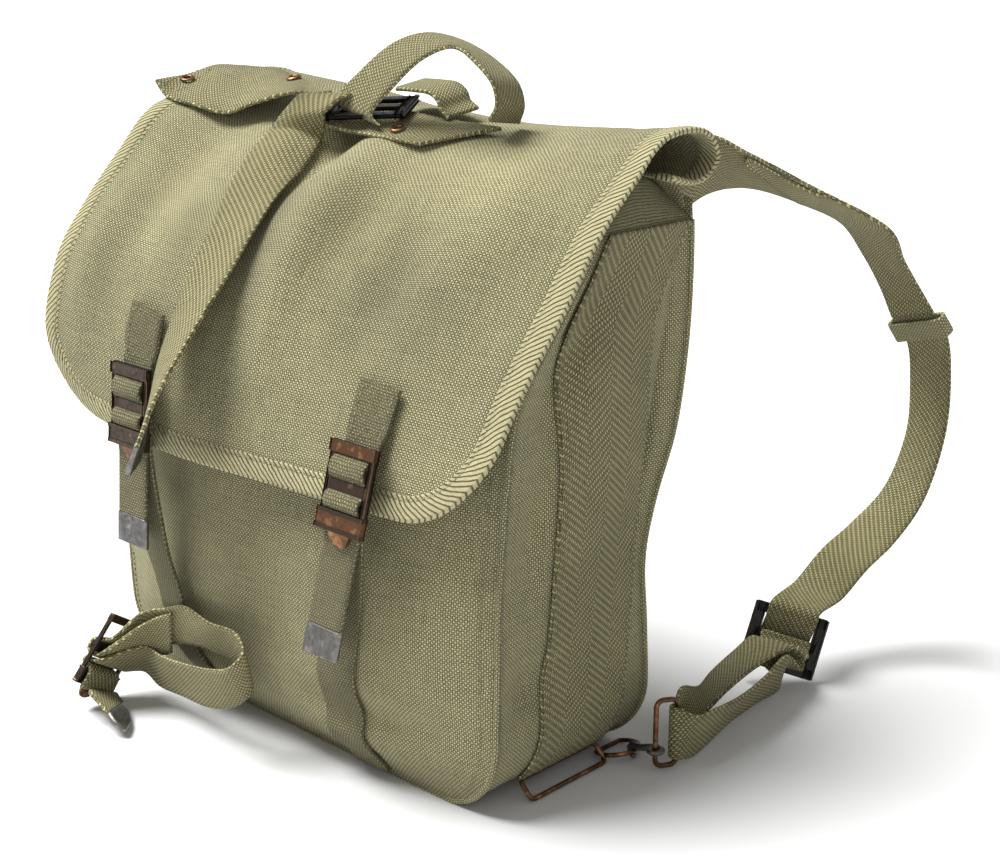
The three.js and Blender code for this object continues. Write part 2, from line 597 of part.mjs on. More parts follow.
function flapRaw(across, distance) {
  const line = flapSection(THREE.MathUtils.clamp(across, -0.5, 0.5));
  let i = 1;
  while (i < line.length - 1 && line[i].run < distance) i += 1;
  const t = (distance - line[i - 1].run) / (line[i].run - line[i - 1].run);
  return new THREE.Vector3(
    across * flapWidth,
    lerp(line[i - 1].y, line[i].y, t),
    lerp(line[i - 1].z, line[i].z, t),
  );
}

function flapNormal(across, distance) {
  const step = 3;
  const length = flapLength(THREE.MathUtils.clamp(across, -0.5, 0.5));
  const low = Math.max(distance - step, 0);
  const high = Math.min(distance + step, length);
  const along = flapRaw(across, high).sub(flapRaw(across, low));
  const side = step / flapWidth;
  const left = Math.max(across - side, -0.5);
  const right = Math.min(across + side, 0.5);
  const wide = flapRaw(right, distance).sub(flapRaw(left, distance));
  return along.cross(wide).normalize();
}

// A point over the flap: out is measured outward from its upper face.
function flapPoint(across, distance, out) {
  const length = flapLength(THREE.MathUtils.clamp(across, -0.5, 0.5));
  const push = flapDents.reduce((sum, row) => {
    const reach = hill((across - row.across) / row.wide) * hill((distance / length - row.down) / row.tall);
    return sum + row.push * reach;
  }, 0);
  const edge = 1 - Math.min(Math.abs(across) * 2, 1) ** 6;
  return flapRaw(across, distance).addScaledVector(flapNormal(across, distance), out + push * edge * bagDepth);
}

// Half the width of the flap at a distance from its hem, set in from the edge.
function flapHalfWidth(fromHem, inset) {
  const radius = hemCornerRadius - inset;
  const drop = Math.max(radius - Math.max(fromHem - inset, 0), 0);
  return flapWidth / 2 - inset - radius + Math.sqrt(Math.max(radius ** 2 - drop ** 2, 0));
}

const clothInset = bindingWidth + 2 * clearance;
const flapDistances = [
  ...Array.from({ length: 19 }, (_, i) => i / 19),
  ...Array.from({ length: 6 }, (_, i) => 1 + i),
];
function flapCloth(out) {
  return flapDistances.map((step) => (
    Array.from({ length: 17 }, (_, j) => {
      const lean = lerp(-1, 1, j / 16);
      const radius = hemCornerRadius - clothInset;
      const fromHemAt = (length) => (step < 1
        ? lerp(length, hemCornerRadius, step)
        : clothInset + radius * (1 - Math.sin((Math.PI / 2) * ((step - 1) / 5))));
      const across = (lean * flapHalfWidth(fromHemAt(flapLength(0)), clothInset)) / flapWidth;
      const length = flapLength(across);
      return flapPoint(across, length - fromHemAt(length), out);
    })
  ));
}
addPiece('flap', wallBetween(flapCloth(0), flapCloth(-clothWall)), 'canvas');

// Bound edge of the flap: down the left edge, along the hem and up the right edge
function bindingPoint(along, inset, out) {
  const radius = hemCornerRadius - inset;
  const straight = flapWidth / 2 - hemCornerRadius;
  const part = Math.abs(along);
  const hand = Math.sign(along) || 1;
  const half = flapWidth / 2 - inset;
  if (part > 2) {
    const across = (hand * half) / flapWidth;
    const length = flapLength(THREE.MathUtils.clamp(across, -0.5, 0.5));
    return flapPoint(across, lerp(length - hemCornerRadius, 0, part - 2), out);
  }
  const turn = (Math.PI / 2) * Math.max(part - 1, 0);
  const x = part > 1 ? straight + radius * Math.sin(turn) : straight * part;
  const across = (hand * x) / flapWidth;
  return flapPoint(across, flapLength(across) - inset - radius * (1 - Math.cos(turn)), out);
}
const bindingStops = [
  ...Array.from({ length: 16 }, (_, i) => -3 + i / 16),
  ...Array.from({ length: 5 }, (_, i) => -2 + i / 5),
  ...Array.from({ length: 13 }, (_, i) => -1 + i / 6),
  ...Array.from({ length: 5 }, (_, i) => 1 + (i + 1) / 5),
  ...Array.from({ length: 16 }, (_, i) => 2 + (i + 1) / 16),
];
const bindingProud = (bindingWall - clothWall) / 2;
const bindingGrid = (out) => bindingStops.map((along) => (
  [0, 0.5, 1].map((share) => bindingPoint(along, share * bindingWidth, out))
));
addPiece('flap_binding', wallBetween(bindingGrid(bindingProud), bindingGrid(-clothWall - bindingProud)), 'canvas');

// A flat strap along stops; each stop is a row of points across the strap.
function strapSolid(stops, thickness, steps = 2) {
  const curves = stops[0].map((_, j) => (
    new THREE.CatmullRomCurve3(stops.map((row) => row[j]), false, 'centripetal')
  ));
  const count = steps * (stops.length - 1);
  const grid = Array.from({ length: count + 1 }, (_, i) => curves.map((curve) => curve.getPoint(i / count)));
  const normals = normalsOf(grid, 1);
  return wallBetween(shifted(grid, normals, thickness / 2), shifted(grid, normals, -thickness / 2));
}

const vector = (x, y, z) => new THREE.Vector3(x, y, z);
const placeOf = (x, back, up) => vector(x * bagWidth, back * bagDepth, up * ridgeHeight);
const acrossStop = (middle, across, width) => [-0.5, 0.5].map((share) => (
  middle.clone().addScaledVector(across, share * width)
));
const tableStops = (rows) => rows.map((row) => acrossStop(
  placeOf(row.x, row.back, row.up),
  vector(row.wx, row.wy, row.wz).normalize(),
  row.wide * strapWidth,
));

// A flat frame in space: across and down lie in its plane, out is square to it.
function frameOf(origin, across, down) {
  const side = across.clone().normalize();
  const fall = down.clone().addScaledVector(side, -down.dot(side)).normalize();
  return { origin, across: side, down: fall, out: fall.clone().cross(side) };
}
const inFrame = (frame, across, down, out) => frame.origin.clone()
  .addScaledVector(frame.across, across)
  .addScaledVector(frame.down, down)
  .addScaledVector(frame.out, out);

// A plate cut from a shape drawn across and down, with its near face at out.
function plateIn(frame, shape, wall, out) {
  const geometry = new THREE.ExtrudeGeometry(shape, { depth: wall, bevelEnabled: false, curveSegments: 7 });
  const place = new THREE.Matrix4().makeBasis(frame.down, frame.across, frame.out);
  geometry.applyMatrix4(place.setPosition(inFrame(frame, 0, 0, out)));
  return geometry;
}

function rectangle(target, down, across, length, width) {
  target.moveTo(down, across);
  target.lineTo(down + length, across);
  target.lineTo(down + length, across + width);
  target.lineTo(down, across + width);
  target.closePath();
  return target;
}

// Closed round wire through stops.
const wireSides = 6;
function wireLoop(stops, wire) {
  const middle = stops.reduce((sum, p) => sum.add(p), vector(0, 0, 0)).divideScalar(stops.length);
  const flat = stops.reduce((sum, p, i) => {
    const next = stops[(i + 1) % stops.length].clone().sub(middle);
    return sum.add(p.clone().sub(middle).cross(next));
  }, vector(0, 0, 0)).normalize();
  const points = stops.flatMap((p, i) => {
    const before = stops[(i + stops.length - 1) % stops.length];
    const side = stops[(i + 1) % stops.length].clone().sub(before).cross(flat).normalize();
    return Array.from({ length: wireSides }, (_, k) => {
      const turn = (2 * Math.PI * (k + 0.5)) / wireSides;
      return p.clone()
        .addScaledVector(side, Math.cos(turn) * (wire / 2))
        .addScaledVector(flat, Math.sin(turn) * (wire / 2));
    });
  });
  const triangles = stops.flatMap((_, i) => {
    const here = i * wireSides;
    const there = ((i + 1) % stops.length) * wireSides;
    return Array.from({ length: wireSides }, (__, k) => {
      const right = (k + 1) % wireSides;
      return [here + k, there + k, there + right, here + k, there + right, here + right];
    }).flat();
  });
  const solid = meshFrom(points, triangles);
  return volumeOf(solid) < 0 ? meshFrom(points, triangles.reverse()) : solid;
}

// Stops of a rounded four-cornered loop.
function roundedLoop(corners, radius, perCorner) {
  return corners.flatMap((corner, i) => {
    const before = corners[(i + 3) % 4].clone().sub(corner).normalize();
    const after = corners[(i + 1) % 4].clone().sub(corner).normalize();
    return Array.from({ length: perCorner + 1 }, (_, k) => {
      const turn = (Math.PI / 2) * (k / perCorner);
      return corner.clone()
        .addScaledVector(before, radius * (1 - Math.sin(turn)))
        .addScaledVector(after, radius * (1 - Math.cos(turn)));
    });
  });
}

// Quick-release buckle, drawn down its length: top plate, window, middle bar, window, lower plate
const windowTop = 2;
const middleBarTop = 16.5;
const middleBarFoot = 20.5;
const lowerPlateTop = 31;
const topPlateRise = 2;
function buckleShape(width) {
  const outer = width / 2 + buckleRail;
  const shape = rectangle(new THREE.Shape(), -topPlateRise, -outer, buckleLength + topPlateRise, 2 * outer);
  const upper = width + 2 * clearance;
  const lower = width + 4 * clearance;
  shape.holes.push(rectangle(new THREE.Path(), windowTop, -upper / 2, middleBarTop - windowTop, upper));
  shape.holes.push(rectangle(new THREE.Path(), middleBarFoot, -lower / 2, lowerPlateTop - middleBarFoot, lower));
  return shape;
}
function leverShape() {
  const shape = new THREE.Shape();
  const start = buckleLength + clearance;
  shape.moveTo(start, -buckleTabRadius);
  shape.absarc(start, 0, buckleTabRadius, -Math.PI / 2, Math.PI / 2, false);
  shape.closePath();
  return shape;
}
function addBuckle(suffix, frame, width, out) {
  addPiece(`buckle_${suffix}`, plateIn(frame, buckleShape(width), buckleWall, out), 'bronze');
  addPiece(`buckle_lever_${suffix}`, plateIn(frame, leverShape(), buckleWall * 0.7, out), 'copper');
}

// Routes of the two straps in the buckle: down its length and out from the flap
const tabRoute = [
  { down: -4, out: 3.4 }, { down: 1.5, out: 3.6 }, { down: 5.3, out: 6.8 }, { down: 8.5, out: 9.2 },
  { down: 12, out: 8.4 }, { down: 14.4, out: 5.2 }, { down: 17, out: 4 },
];
const strapRoute = [
  { down: 39, out: 3 }, { down: 33, out: 3.1 }, { down: 27.5, out: 3.1 }, { down: 24.2, out: 3.9 },
  { down: 23.1, out: 6.2 }, { down: 24.4, out: 9 }, { down: 26.5, out: 8.9 }, { down: 28.3, out: 6.8 },
  { down: 31.5, out: 5.5 }, { down: 40, out: 5.5 },
];

// The straps from the foot of the front panel. up is a share of ridgeHeight, rightX and leftX
// are shares of bagWidth, and the lifts off the panel are shares of bagDepth.
const anchorRows = [
  { up: 0.012, rightX: 0.212, leftX: -0.205, rightLift: 0, leftLift: 0 },
  { up: 0.035, rightX: 0.211, leftX: -0.207, rightLift: 0, leftLift: 0 },
  { up: 0.065, rightX: 0.210, leftX: -0.210, rightLift: 0, leftLift: 0 },
  { up: 0.090, rightX: 0.208, leftX: -0.212, rightLift: 0, leftLift: 0 },
  { up: 0.120, rightX: 0.207, leftX: -0.214, rightLift: 0, leftLift: 0 },
  { up: 0.180, rightX: 0.208, leftX: -0.218, rightLift: 0, leftLift: 0.01 },
  { up: 0.245, rightX: 0.218, leftX: -0.222, rightLift: 0, leftLift: 0.05 },
  { up: 0.310, rightX: 0.235, leftX: -0.225, rightLift: 0.02, leftLift: 0.10 },
];

function addClosure(side, x, buckleFromHem, tipHeight, tailDrift) {
  const share = x / flapWidth;
  const length = flapLength(share);
  const skin = clearance + webbingWall / 2;
  const top = flapPoint(share, length - buckleFromHem, 0);
  const foot = flapPoint(share, length, 0);
  const frame = frameOf(top, vector(1, 0, 0), foot.clone().sub(top));
  const onFlap = (fromHem) => [-0.5, 0, 0.5].map((part) => (
    flapPoint(share + (part * closureWidth) / flapWidth, length - fromHem, skin + tabLift)
  ));
  const onFrame = (row) => [-0.5, 0, 0.5].map((part) => inFrame(frame, part * closureWidth, row.down, row.out));
  const tabTops = [1, 0.67, 0.33].map((part) => buckleFromHem + 3 + part * (tabLength - 3));
  addPiece(`flap_tab_${side}`, strapSolid([...tabTops.map(onFlap), ...tabRoute.map(onFrame)], webbingWall), 'webbing');
  addBuckle(side, frame, closureWidth, buckleStand);

  const onFront = (z, at, extra) => [-0.5, 0, 0.5].map((part) => {
    const column = at + part * closureWidth;
    return vector(column, frontY(column, z) - skin - 0.9 - extra, z);
  });
  const anchored = anchorRows.map((row) => {
    return onFront(row.up * ridgeHeight, row[`${side}X`] * bagWidth, row[`${side}Lift`] * bagDepth);
  });
  const last = inFrame(frame, 0, strapRoute.at(-1).down, strapRoute.at(-1).out);
  const tailAt = (z, width) => {
    const part = (last.z - z) / (last.z - tipHeight);
    const at = x + tailDrift * part;
    const outermost = Math.min(...onFront(z, at, webbingWall + 1.2).map((p) => p.y));
    const y = Math.min(outermost, lerp(last.y, last.y - 3, part));
    return [-0.5, 0, 0.5].map((across) => vector(at + across * width, y, z));
  };
  const tipTop = tipHeight + tipLength;
  const tail = [0.3, 0.6, 1].map((part) => tailAt(lerp(last.z, tipTop + clearance, part), closureWidth));
  const route = [...anchored, ...strapRoute.map(onFrame), ...tail];
  addPiece(`closure_strap_${side}`, strapSolid(route, webbingWall), 'webbing');
  const tip = [0, 0.5, 1].map((part) => tailAt(lerp(tipTop, tipHeight, part), closureWidth + 0.8));
  addPiece(`strap_tip_${side}`, strapSolid(tip, tipWall), 'steel');
}
addClosure('right', rightClosureX, rightBuckleFromHem, rightTipHeight, rightTailDrift);
addClosure('left', leftClosureX, leftBuckleFromHem, leftTipHeight, leftTailDrift);

// Wire ring hanging from the foot of each side webbing
for (const [name, hand] of [['side_ring_right', 1], ['side_ring_left', -1]]) {
  const low = ringWire / 2 + clearance;
  const high = webbingFoot - ringWire / 2 - 4 * clearance;
  const middle = webbingBack(webbingFoot / ridgeHeight) * bagDepth;
  const inner = hand * (bagWidth / 2 - ringInset);
  const outer = inner + hand * ringDrop;
  const corners = [
    vector(inner, middle - ringWidth / 2, high), vector(outer, middle - ringWidth / 2, low),
    vector(outer, middle + ringWidth / 2, low), vector(inner, middle + ringWidth / 2, high),
  ];
  addPiece(name, wireLoop(roundedLoop(corners, 3, 2), ringWire), 'copper');
}

// Small ring at each rear corner, lying on the floor, with its straight side to the bag
function addCornerRing(name, hand) {
  const steps = 12;
  const stops = Array.from({ length: steps }, (_, i) => {
    const turn = (2 * Math.PI * i) / steps;
    const reach = Math.max(Math.cos(turn), -0.6);
    return vector(
      hand * (cornerRingX + cornerRingRadius * reach),
      cornerRingY + cornerRingRadius * Math.sin(turn),
      ringWire / 2 + clearance + (cornerRingRise * (reach + 0.6)) / 1.6,
    );
  });
  addPiece(name, wireLoop(stops, ringWire), 'copper');
}
addCornerRing('corner_ring_right', 1);
addCornerRing('corner_ring_left', -1);

// Upright wire loop that carries the end of the right shoulder strap, and its snap hook
const loopMiddle = placeOf(0.5767, 0.425, 0.0645);
const loopAcross = vector(0.5, 0.86, 0).normalize();
const loopCorners = [[-1, -1], [1, -1], [1, 1], [-1, 1]].map(([side, rise]) => loopMiddle.clone()
  .addScaledVector(loopAcross, (side * loopWidth) / 2)
  .add(vector(0, 0, (rise * loopHeight) / 2)));
addPiece('hook_loop_right', wireLoop(roundedLoop(loopCorners, 4, 2), loopWire), 'copper');

const nearWire = loopMiddle.clone().addScaledVector(loopAcross, -loopWidth / 2);
const farWire = loopMiddle.clone().addScaledVector(loopAcross, loopWidth / 2);
const hookLine = vector(nearWire.x - cornerRingX - cornerRingRadius, nearWire.y - cornerRingY, 0).normalize();
const hookSide = vector(0, 0, 1).cross(hookLine);
const eyeRadius = (loopWire + hookWire) / 2 + 0.8;
const bendRadius = (ringWire + hookWire) / 2 + 0.6;
const ringEdge = vector(cornerRingX + cornerRingRadius, cornerRingY, ringWire / 2 + clearance + cornerRingRise);
const hookEye = Array.from({ length: 7 }, (_, i) => {
  const turn = Math.PI * (0.9 - i * 0.26);
  return nearWire.clone().setZ(eyeHeight)
    .addScaledVector(hookLine, Math.cos(turn) * eyeRadius)
    .addScaledVector(hookSide, Math.sin(turn) * eyeRadius);
});
const hookBend = Array.from({ length: 7 }, (_, i) => {
  const turn = Math.PI * (0.32 + i * 0.2);
  return ringEdge.clone()
    .addScaledVector(hookLine, Math.cos(turn) * bendRadius)
    .add(vector(0, 0, Math.sin(turn) * bendRadius));
});
const wireSection = new THREE.Shape();
for (let i = 0; i < wireSides; i += 1) {
  const turn = (2 * Math.PI * i) / wireSides;
  wireSection[i ? 'lineTo' : 'moveTo'](Math.cos(turn) * (hookWire / 2), Math.sin(turn) * (hookWire / 2));
}
wireSection.closePath();
const hookPath = new THREE.CatmullRomCurve3([...hookEye.reverse(), ...hookBend], false, 'centripetal');
addPiece('snap_hook_right', new THREE.ExtrudeGeometry(wireSection, { steps: 20, extrudePath: hookPath, bevelEnabled: false }), 'steel');

// Right shoulder strap: wide pad, keeper, long strap through the slider, and the part
// from the slider round the wire loop and back
addPiece('shoulder_pad_right', strapSolid(tableStops(rightPadRows), webbingWall, 3), 'webbing');
const sliderFrame = frameOf(placeOf(0.51, 1.634, 0.075), vector(0.76, 0.6, -0.28), vector(-0.1, -0.47, -0.87));
const sliderShape = rectangle(new THREE.Shape(), -sliderHeight / 2, -sliderWidth / 2, sliderHeight, sliderWidth);
const sliderGap = (sliderHeight - 3 * sliderBar) / 2;
for (const [down, rail] of [[sliderBar - sliderHeight / 2, sliderBar], [sliderBar / 2, sliderBar - clearance]]) {
  const width = sliderWidth - 2 * rail;
  sliderShape.holes.push(rectangle(new THREE.Path(), down, -width / 2, sliderGap, width));
}
addPiece('slider_right', plateIn(sliderFrame, sliderShape, sliderWall, -sliderWall / 2), 'bronze');
const onSlider = (row) => acrossStop(inFrame(sliderFrame, 0, row.down, row.out), sliderFrame.across, strapWidth);
const wrap = (loopWire + webbingWall) / 2 + 0.9;
const wrapStops = [[1, 0], [0.7, 0.7], [0, 1], [-0.7, 0.7], [-1, 0]].map(([ahead, beyond]) => acrossStop(
  farWire.clone()
    .addScaledVector(vector(loopAcross.y, -loopAcross.x, 0), ahead * wrap)
    .addScaledVector(loopAcross, -beyond * wrap),
  vector(0, 0, 1),
  strapWidth,
));
addPiece('shoulder_strap_right', strapSolid([
  ...tableStops(rightStrapRows),
  ...sliderIn.map(onSlider),
  ...tableStops(lowerRunRows),
  ...wrapStops,
  ...tableStops(upperRunRows),
  ...sliderOut.map(onSlider).map((stop) => stop.reverse()),
], webbingWall), 'webbing');

// Height of the flap over a point of its ridge
function flapTop(x, y) {
  const line = flapSection(THREE.MathUtils.clamp(x / flapWidth, -0.5, 0.5));
  return line.slice(1).reduce((top, point, i) => {
    const before = line[i];
    if ((before.y - y) * (point.y - y) > 0) return top;
    return Math.max(top, lerp(before.z, point.z, (before.y - y) / (before.y - point.y || 1)));
  }, 0);
}
const restOnFlap = (point) => point.setZ(Math.max(
  point.z,
  flapTop(point.x, point.y) + webbingWall / 2 + bindingProud + restLift,
));

// Keeper round the foot of the right pad, where the long strap leaves it
const keeperFrame = frameOf(placeOf(0.611, 2.318, 0.618), vector(32, -4, 9), vector(6.2, 8.6, -16));
const keeperHalf = strapWidth / 2 + webbingWall / 2 + 4 * clearance;
const keeperStand = webbingWall + 4 * clearance;
const keeperRound = [
  [0, -1], [0.6, -1], [1, -0.9], [1.07, 0], [1, 0.9], [0.5, 1], [-0.5, 1], [-1, 0.9], [-1.07, 0], [-1, -0.9],
  [-0.6, -1], [-0.08, -1],
];
addPiece('keeper_right', strapSolid(keeperRound.map(([across, out]) => [-0.5, 0.5].map((share) => (
  inFrame(keeperFrame, across * keeperHalf, share * keeperHeight, out * keeperStand)
))), webbingWall, 1), 'webbing');

// Left shoulder strap folded over the ridge: two pads, and the slider that joins them
const padStops = (rows) => rows.map((row) => {
  const near = restOnFlap(placeOf(row.x, row.back, row.up));
  const far = restOnFlap(placeOf(row.farX, row.farBack, row.farUp));
  return [near, restOnFlap(near.clone().lerp(far, 0.5)), far];
});
const padSurface = { left: padStops(leftPadRows), end: padStops(padEndRows) };
addPiece('shoulder_pad_left', strapSolid(padSurface.left, webbingWall), 'webbing');
addPiece('shoulder_pad_end', strapSolid(padSurface.end, webbingWall, 1), 'webbing');
const topFrame = frameOf(placeOf(-0.063, 0.195, 1.003), vector(0.84, 0.54, 0.05), vector(0.5, -0.78, -0.15));
addPiece('slider_left', plateIn(topFrame, sliderShape, sliderWall, -sliderWall / 2), 'bronze');
addPiece('top_strap', strapSolid(tableStops(topLoopRows), webbingWall), 'webbing');
addPiece('top_keeper', strapSolid(tableStops(topKeeperRows), webbingWall), 'webbing');

// Long end of the left strap, down over the flap and the left closure.
const flapStrapStops = flapStrapRows.map((row, i) => {
  const before = flapStrapRows[Math.max(i - 1, 0)];
  const after = flapStrapRows[Math.min(i + 1, flapStrapRows.length - 1)];
  const run = new THREE.Vector2((after.across - before.across) * flapWidth, after.fromHem - before.fromHem).normalize();
  const tilt = THREE.MathUtils.degToRad(row.tilt);
  return [-0.5, 0, 0.5].map((share) => {
    const flat = share * strapWidth * Math.cos(tilt);
    const across = row.across - (run.y * flat) / flapWidth;
    return flapPoint(across, flapLength(across) - row.fromHem - run.x * flat, row.out + share * strapWidth * Math.sin(tilt));
  });
});
addPiece('flap_strap', strapSolid(flapStrapStops, webbingWall, 1), 'webbing');
const flapStrapEnd = flapStrapStops.at(-1);
const beyond = flapStrapEnd.map((point, j) => point.clone().sub(flapStrapStops.at(-2)[j]).normalize());
addPiece('flap_strap_tip', strapSolid([clearance, 9, 18].map((run, i) => (
  flapStrapEnd.map((point, j) => point.clone().addScaledVector(beyond[j], run).lerp(flapStrapEnd[1].clone().addScaledVector(beyond[1], run), 0.16 * i))
)), tipWall, 1), 'steel');

// Loop of strap in front of the left corner, sewn round the middle bar of its own buckle
const lowFrame = frameOf(placeOf(-0.346, -0.879, 0.1375), vector(-0.28, 0.78, -0.55), vector(-0.13, -0.49, -0.86));
addBuckle('low', lowFrame, strapWidth, -buckleWall / 2);
const onLow = (row) => acrossStop(inFrame(lowFrame, 0, row.down, row.out), lowFrame.across, -strapWidth);
addPiece('low_strap', strapSolid([
  ...tableStops(lowTailRows),
  ...lowHumpRoute.map(onLow),
  ...tableStops(lowLoopRows),
  ...tableStops(lowBackRows),
  ...lowCurlRoute.map(onLow),
  ...tableStops(lowEndRows),
], webbingWall), 'webbing');
addPiece('low_strap_tip', strapSolid(tableStops(lowTipRows), tipWall, 1), 'steel');

// Eyelets through the pads
function addEyelet(name, stops, row, share, stand) {
  const line = stops[row];
  const middle = line[0].clone().lerp(line[2], share);
  const along = stops[row + 1][1].clone().sub(stops[row - 1][1]);
  const frame = frameOf(middle, line[2].clone().sub(line[0]), along);
  const face = frame.out.z > 0 ? 1 : -1;
  const shape = new THREE.Shape();
  const hole = new THREE.Path();
  for (const [path, radius] of [[shape, eyeletRadius], [hole, eyeletHole]]) {
    for (let i = 0; i < eyeletSides; i += 1) {
      const turn = (2 * Math.PI * i) / eyeletSides;
      path[i ? 'lineTo' : 'moveTo'](Math.cos(turn) * radius, Math.sin(turn) * radius);
    }
    path.closePath();
  }
  shape.holes.push(hole);
  const lift = webbingWall / 2 + stand;
  addPiece(name, plateIn(frame, shape, eyeletWall, face > 0 ? lift : -lift - eyeletWall), 'copper');
}
addEyelet('eyelet_left', padSurface.left, 1, 0.45, 1.1);
addEyelet('eyelet_middle', padSurface.left, 5, 0.75, 0.4);
addEyelet('eyelet_end', padSurface.end, 2, 0.25, 1.4);

export default haversack;
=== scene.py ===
import math

import bmesh
import bpy
import numpy as np
from mathutils import Matrix, Vector


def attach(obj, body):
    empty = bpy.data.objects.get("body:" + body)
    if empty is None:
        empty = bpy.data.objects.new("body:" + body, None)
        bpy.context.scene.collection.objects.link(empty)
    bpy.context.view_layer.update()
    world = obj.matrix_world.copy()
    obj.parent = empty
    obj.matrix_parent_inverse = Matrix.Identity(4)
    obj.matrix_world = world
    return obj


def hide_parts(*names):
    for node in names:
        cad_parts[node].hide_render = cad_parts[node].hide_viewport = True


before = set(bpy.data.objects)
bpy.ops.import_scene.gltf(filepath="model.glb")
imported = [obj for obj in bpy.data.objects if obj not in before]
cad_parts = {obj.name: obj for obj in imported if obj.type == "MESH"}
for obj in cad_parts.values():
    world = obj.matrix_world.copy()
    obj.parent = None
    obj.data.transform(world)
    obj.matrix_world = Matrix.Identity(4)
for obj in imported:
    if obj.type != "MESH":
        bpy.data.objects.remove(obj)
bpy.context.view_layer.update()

MM = 0.001

# Sizes of the bag, in millimetres
BAG_WIDTH = 300
BAG_DEPTH = 112
SEAM_HEIGHT = 286
RIDGE_HEIGHT = 333
CORNER_RADIUS = 42
CLOTH_WALL = 1.8
WEBBING_WALL = 2.2
CLEARANCE = 0.3
FLAP_WIDTH = 310
HEM_RADIUS = 46
BINDING_WIDTH = 11
BINDING_WALL = 3.4
COLLAR_RISE = 22
COLLAR_LEAN = 14
SIDE_WEBBING = 62
STRAP_WIDTH = 30
CLOSURE_WIDTH = 25
KEEPER_HEIGHT = 13
TAB_LENGTH = 33
TIP_LENGTH = 16
TIP_WALL = 3.2
TAB_LIFT = 1.9
REST_LIFT = 0.8
BUCKLE_LENGTH = 40
BUCKLE_RAIL = 2.8
BUCKLE_WALL = 2.2
BUCKLE_STAND = 6.9
BUCKLE_BAR = (16.5, 20.5)
BUCKLE_PLATE = 31
LEVER_RADIUS = 8
RING_WIRE = 2.6
RING_WIDTH = 58
RING_DROP = 8.5
RING_INSET = 12
HOOK_WIRE = 3
LOOP_HEIGHT = 38
LOOP_WIDTH = 12
LOOP_WIRE = 2.8
CORNER_RING_RADIUS = 11.5
CORNER_RING_X = 143
CORNER_RING_Y = 44
CORNER_RING_RISE = 4.2
EYE_HEIGHT = 12
SLIDER_WIDTH = 40
SLIDER_HEIGHT = 34
SLIDER_BAR = 3.4
SLIDER_WALL = 2.4
TIP_SPARE = 0.8
BACK_TOP = SEAM_HEIGHT + 0.5 * COLLAR_RISE
COLLAR_RUN = 640
SEAM_CORD_RADIUS = 1.7
SEAM_STITCH_INSET = 8.2
BINDING_STITCH_INSET = BINDING_WIDTH - 1.8
BOX_MARGIN = 2.6
ROOT_LAP = 5
ROOT_REACH = 11
ROOT_WALL = 1.2
FOLD_WALL = 1.9
# The pad's second layer lies on its upper face; -1 would be the lower one
FOLD_SIDE = 1
STITCH_PITCH = 3.4
# Part of the pitch that the thread shows
STITCH_SHARE = 0.66
# Part of a corner ring's radius at which its wire runs straight
RING_FLAT = 0.6
# Steps of grids and curves
SIDE_COLUMNS = 30
SECTION_STEPS = 312
FLAP_COLUMNS = 200
FLAP_ROWS = 400
CLOTH_STEPS = 120
RING_STEPS = 48
HOOK_STOPS = 7
EYELET_SIDES = 28
# Uneven fading of the cloth
CLOTH_FADE = 0.4

# Side seams by height: up, right, left, rear, crown, hollow
SEAM_ROWS = np.array([
    (0.000, -0.500, -0.500, 0.480, 0.00, 0.00), (0.045, -0.515, -0.525, 0.510, 0.08, 0.02),
    (0.120, -0.515, -0.550, 0.520, 0.21, 0.04), (0.230, -0.505, -0.560, 0.500, 0.25, 0.05),
    (0.340, -0.500, -0.570, 0.480, 0.24, 0.05), (0.430, -0.480, -0.590, 0.550, 0.19, 0.05),
    (0.530, -0.450, -0.640, 0.680, 0.13, 0.04), (0.640, -0.380, -0.660, 0.745, 0.08, 0.03),
    (0.745, -0.140, -0.620, 0.770, 0.06, 0.02), (0.860, 0.130, -0.480, 0.765, 0.04, 0.01),
    (0.980, 0.350, -0.300, 0.720, 0.02, 0.00),
])
# Dents, in shares: across, up (on the flap: down its length), width, height, push
FRONT_DENTS = [
    (0.30, 0.13, 0.20, 0.030, -0.055), (0.20, 0.075, 0.16, 0.030, 0.035), (-0.30, 0.16, 0.14, 0.070, 0.030),
    (0.02, 0.30, 0.12, 0.120, -0.030), (0.38, 0.30, 0.06, 0.100, 0.025),
]
SIDE_DENTS = [
    (0.20, 0.66, 0.13, 0.13, 0.030), (0.17, 0.42, 0.11, 0.08, 0.022), (0.16, 0.20, 0.14, 0.045, 0.030),
    (0.90, 0.62, 0.09, 0.22, 0.016), (0.55, 0.50, 0.22, 0.20, -0.010),
]
SIDE_CREASES = [
    (0.875, 0.55, 0.022, 0.20, 0.016), (0.06, 0.45, 0.03, 0.16, 0.008), (0.10, 0.75, 0.03, 0.10, 0.006),
]
FLAP_DENTS = [
    (0.205, 0.63, 0.055, 0.10, -0.035), (-0.09, 0.44, 0.045, 0.16, -0.050), (0.10, 0.56, 0.070, 0.13, -0.040),
    (-0.33, 0.55, 0.070, 0.14, -0.045), (0.02, 0.60, 0.050, 0.20, 0.035), (0.33, 0.50, 0.080, 0.12, 0.030),
    (-0.42, 0.75, 0.060, 0.14, 0.030),
]
# All dents of the flap are deepened by this
FOLD_DEPTH = 1.9
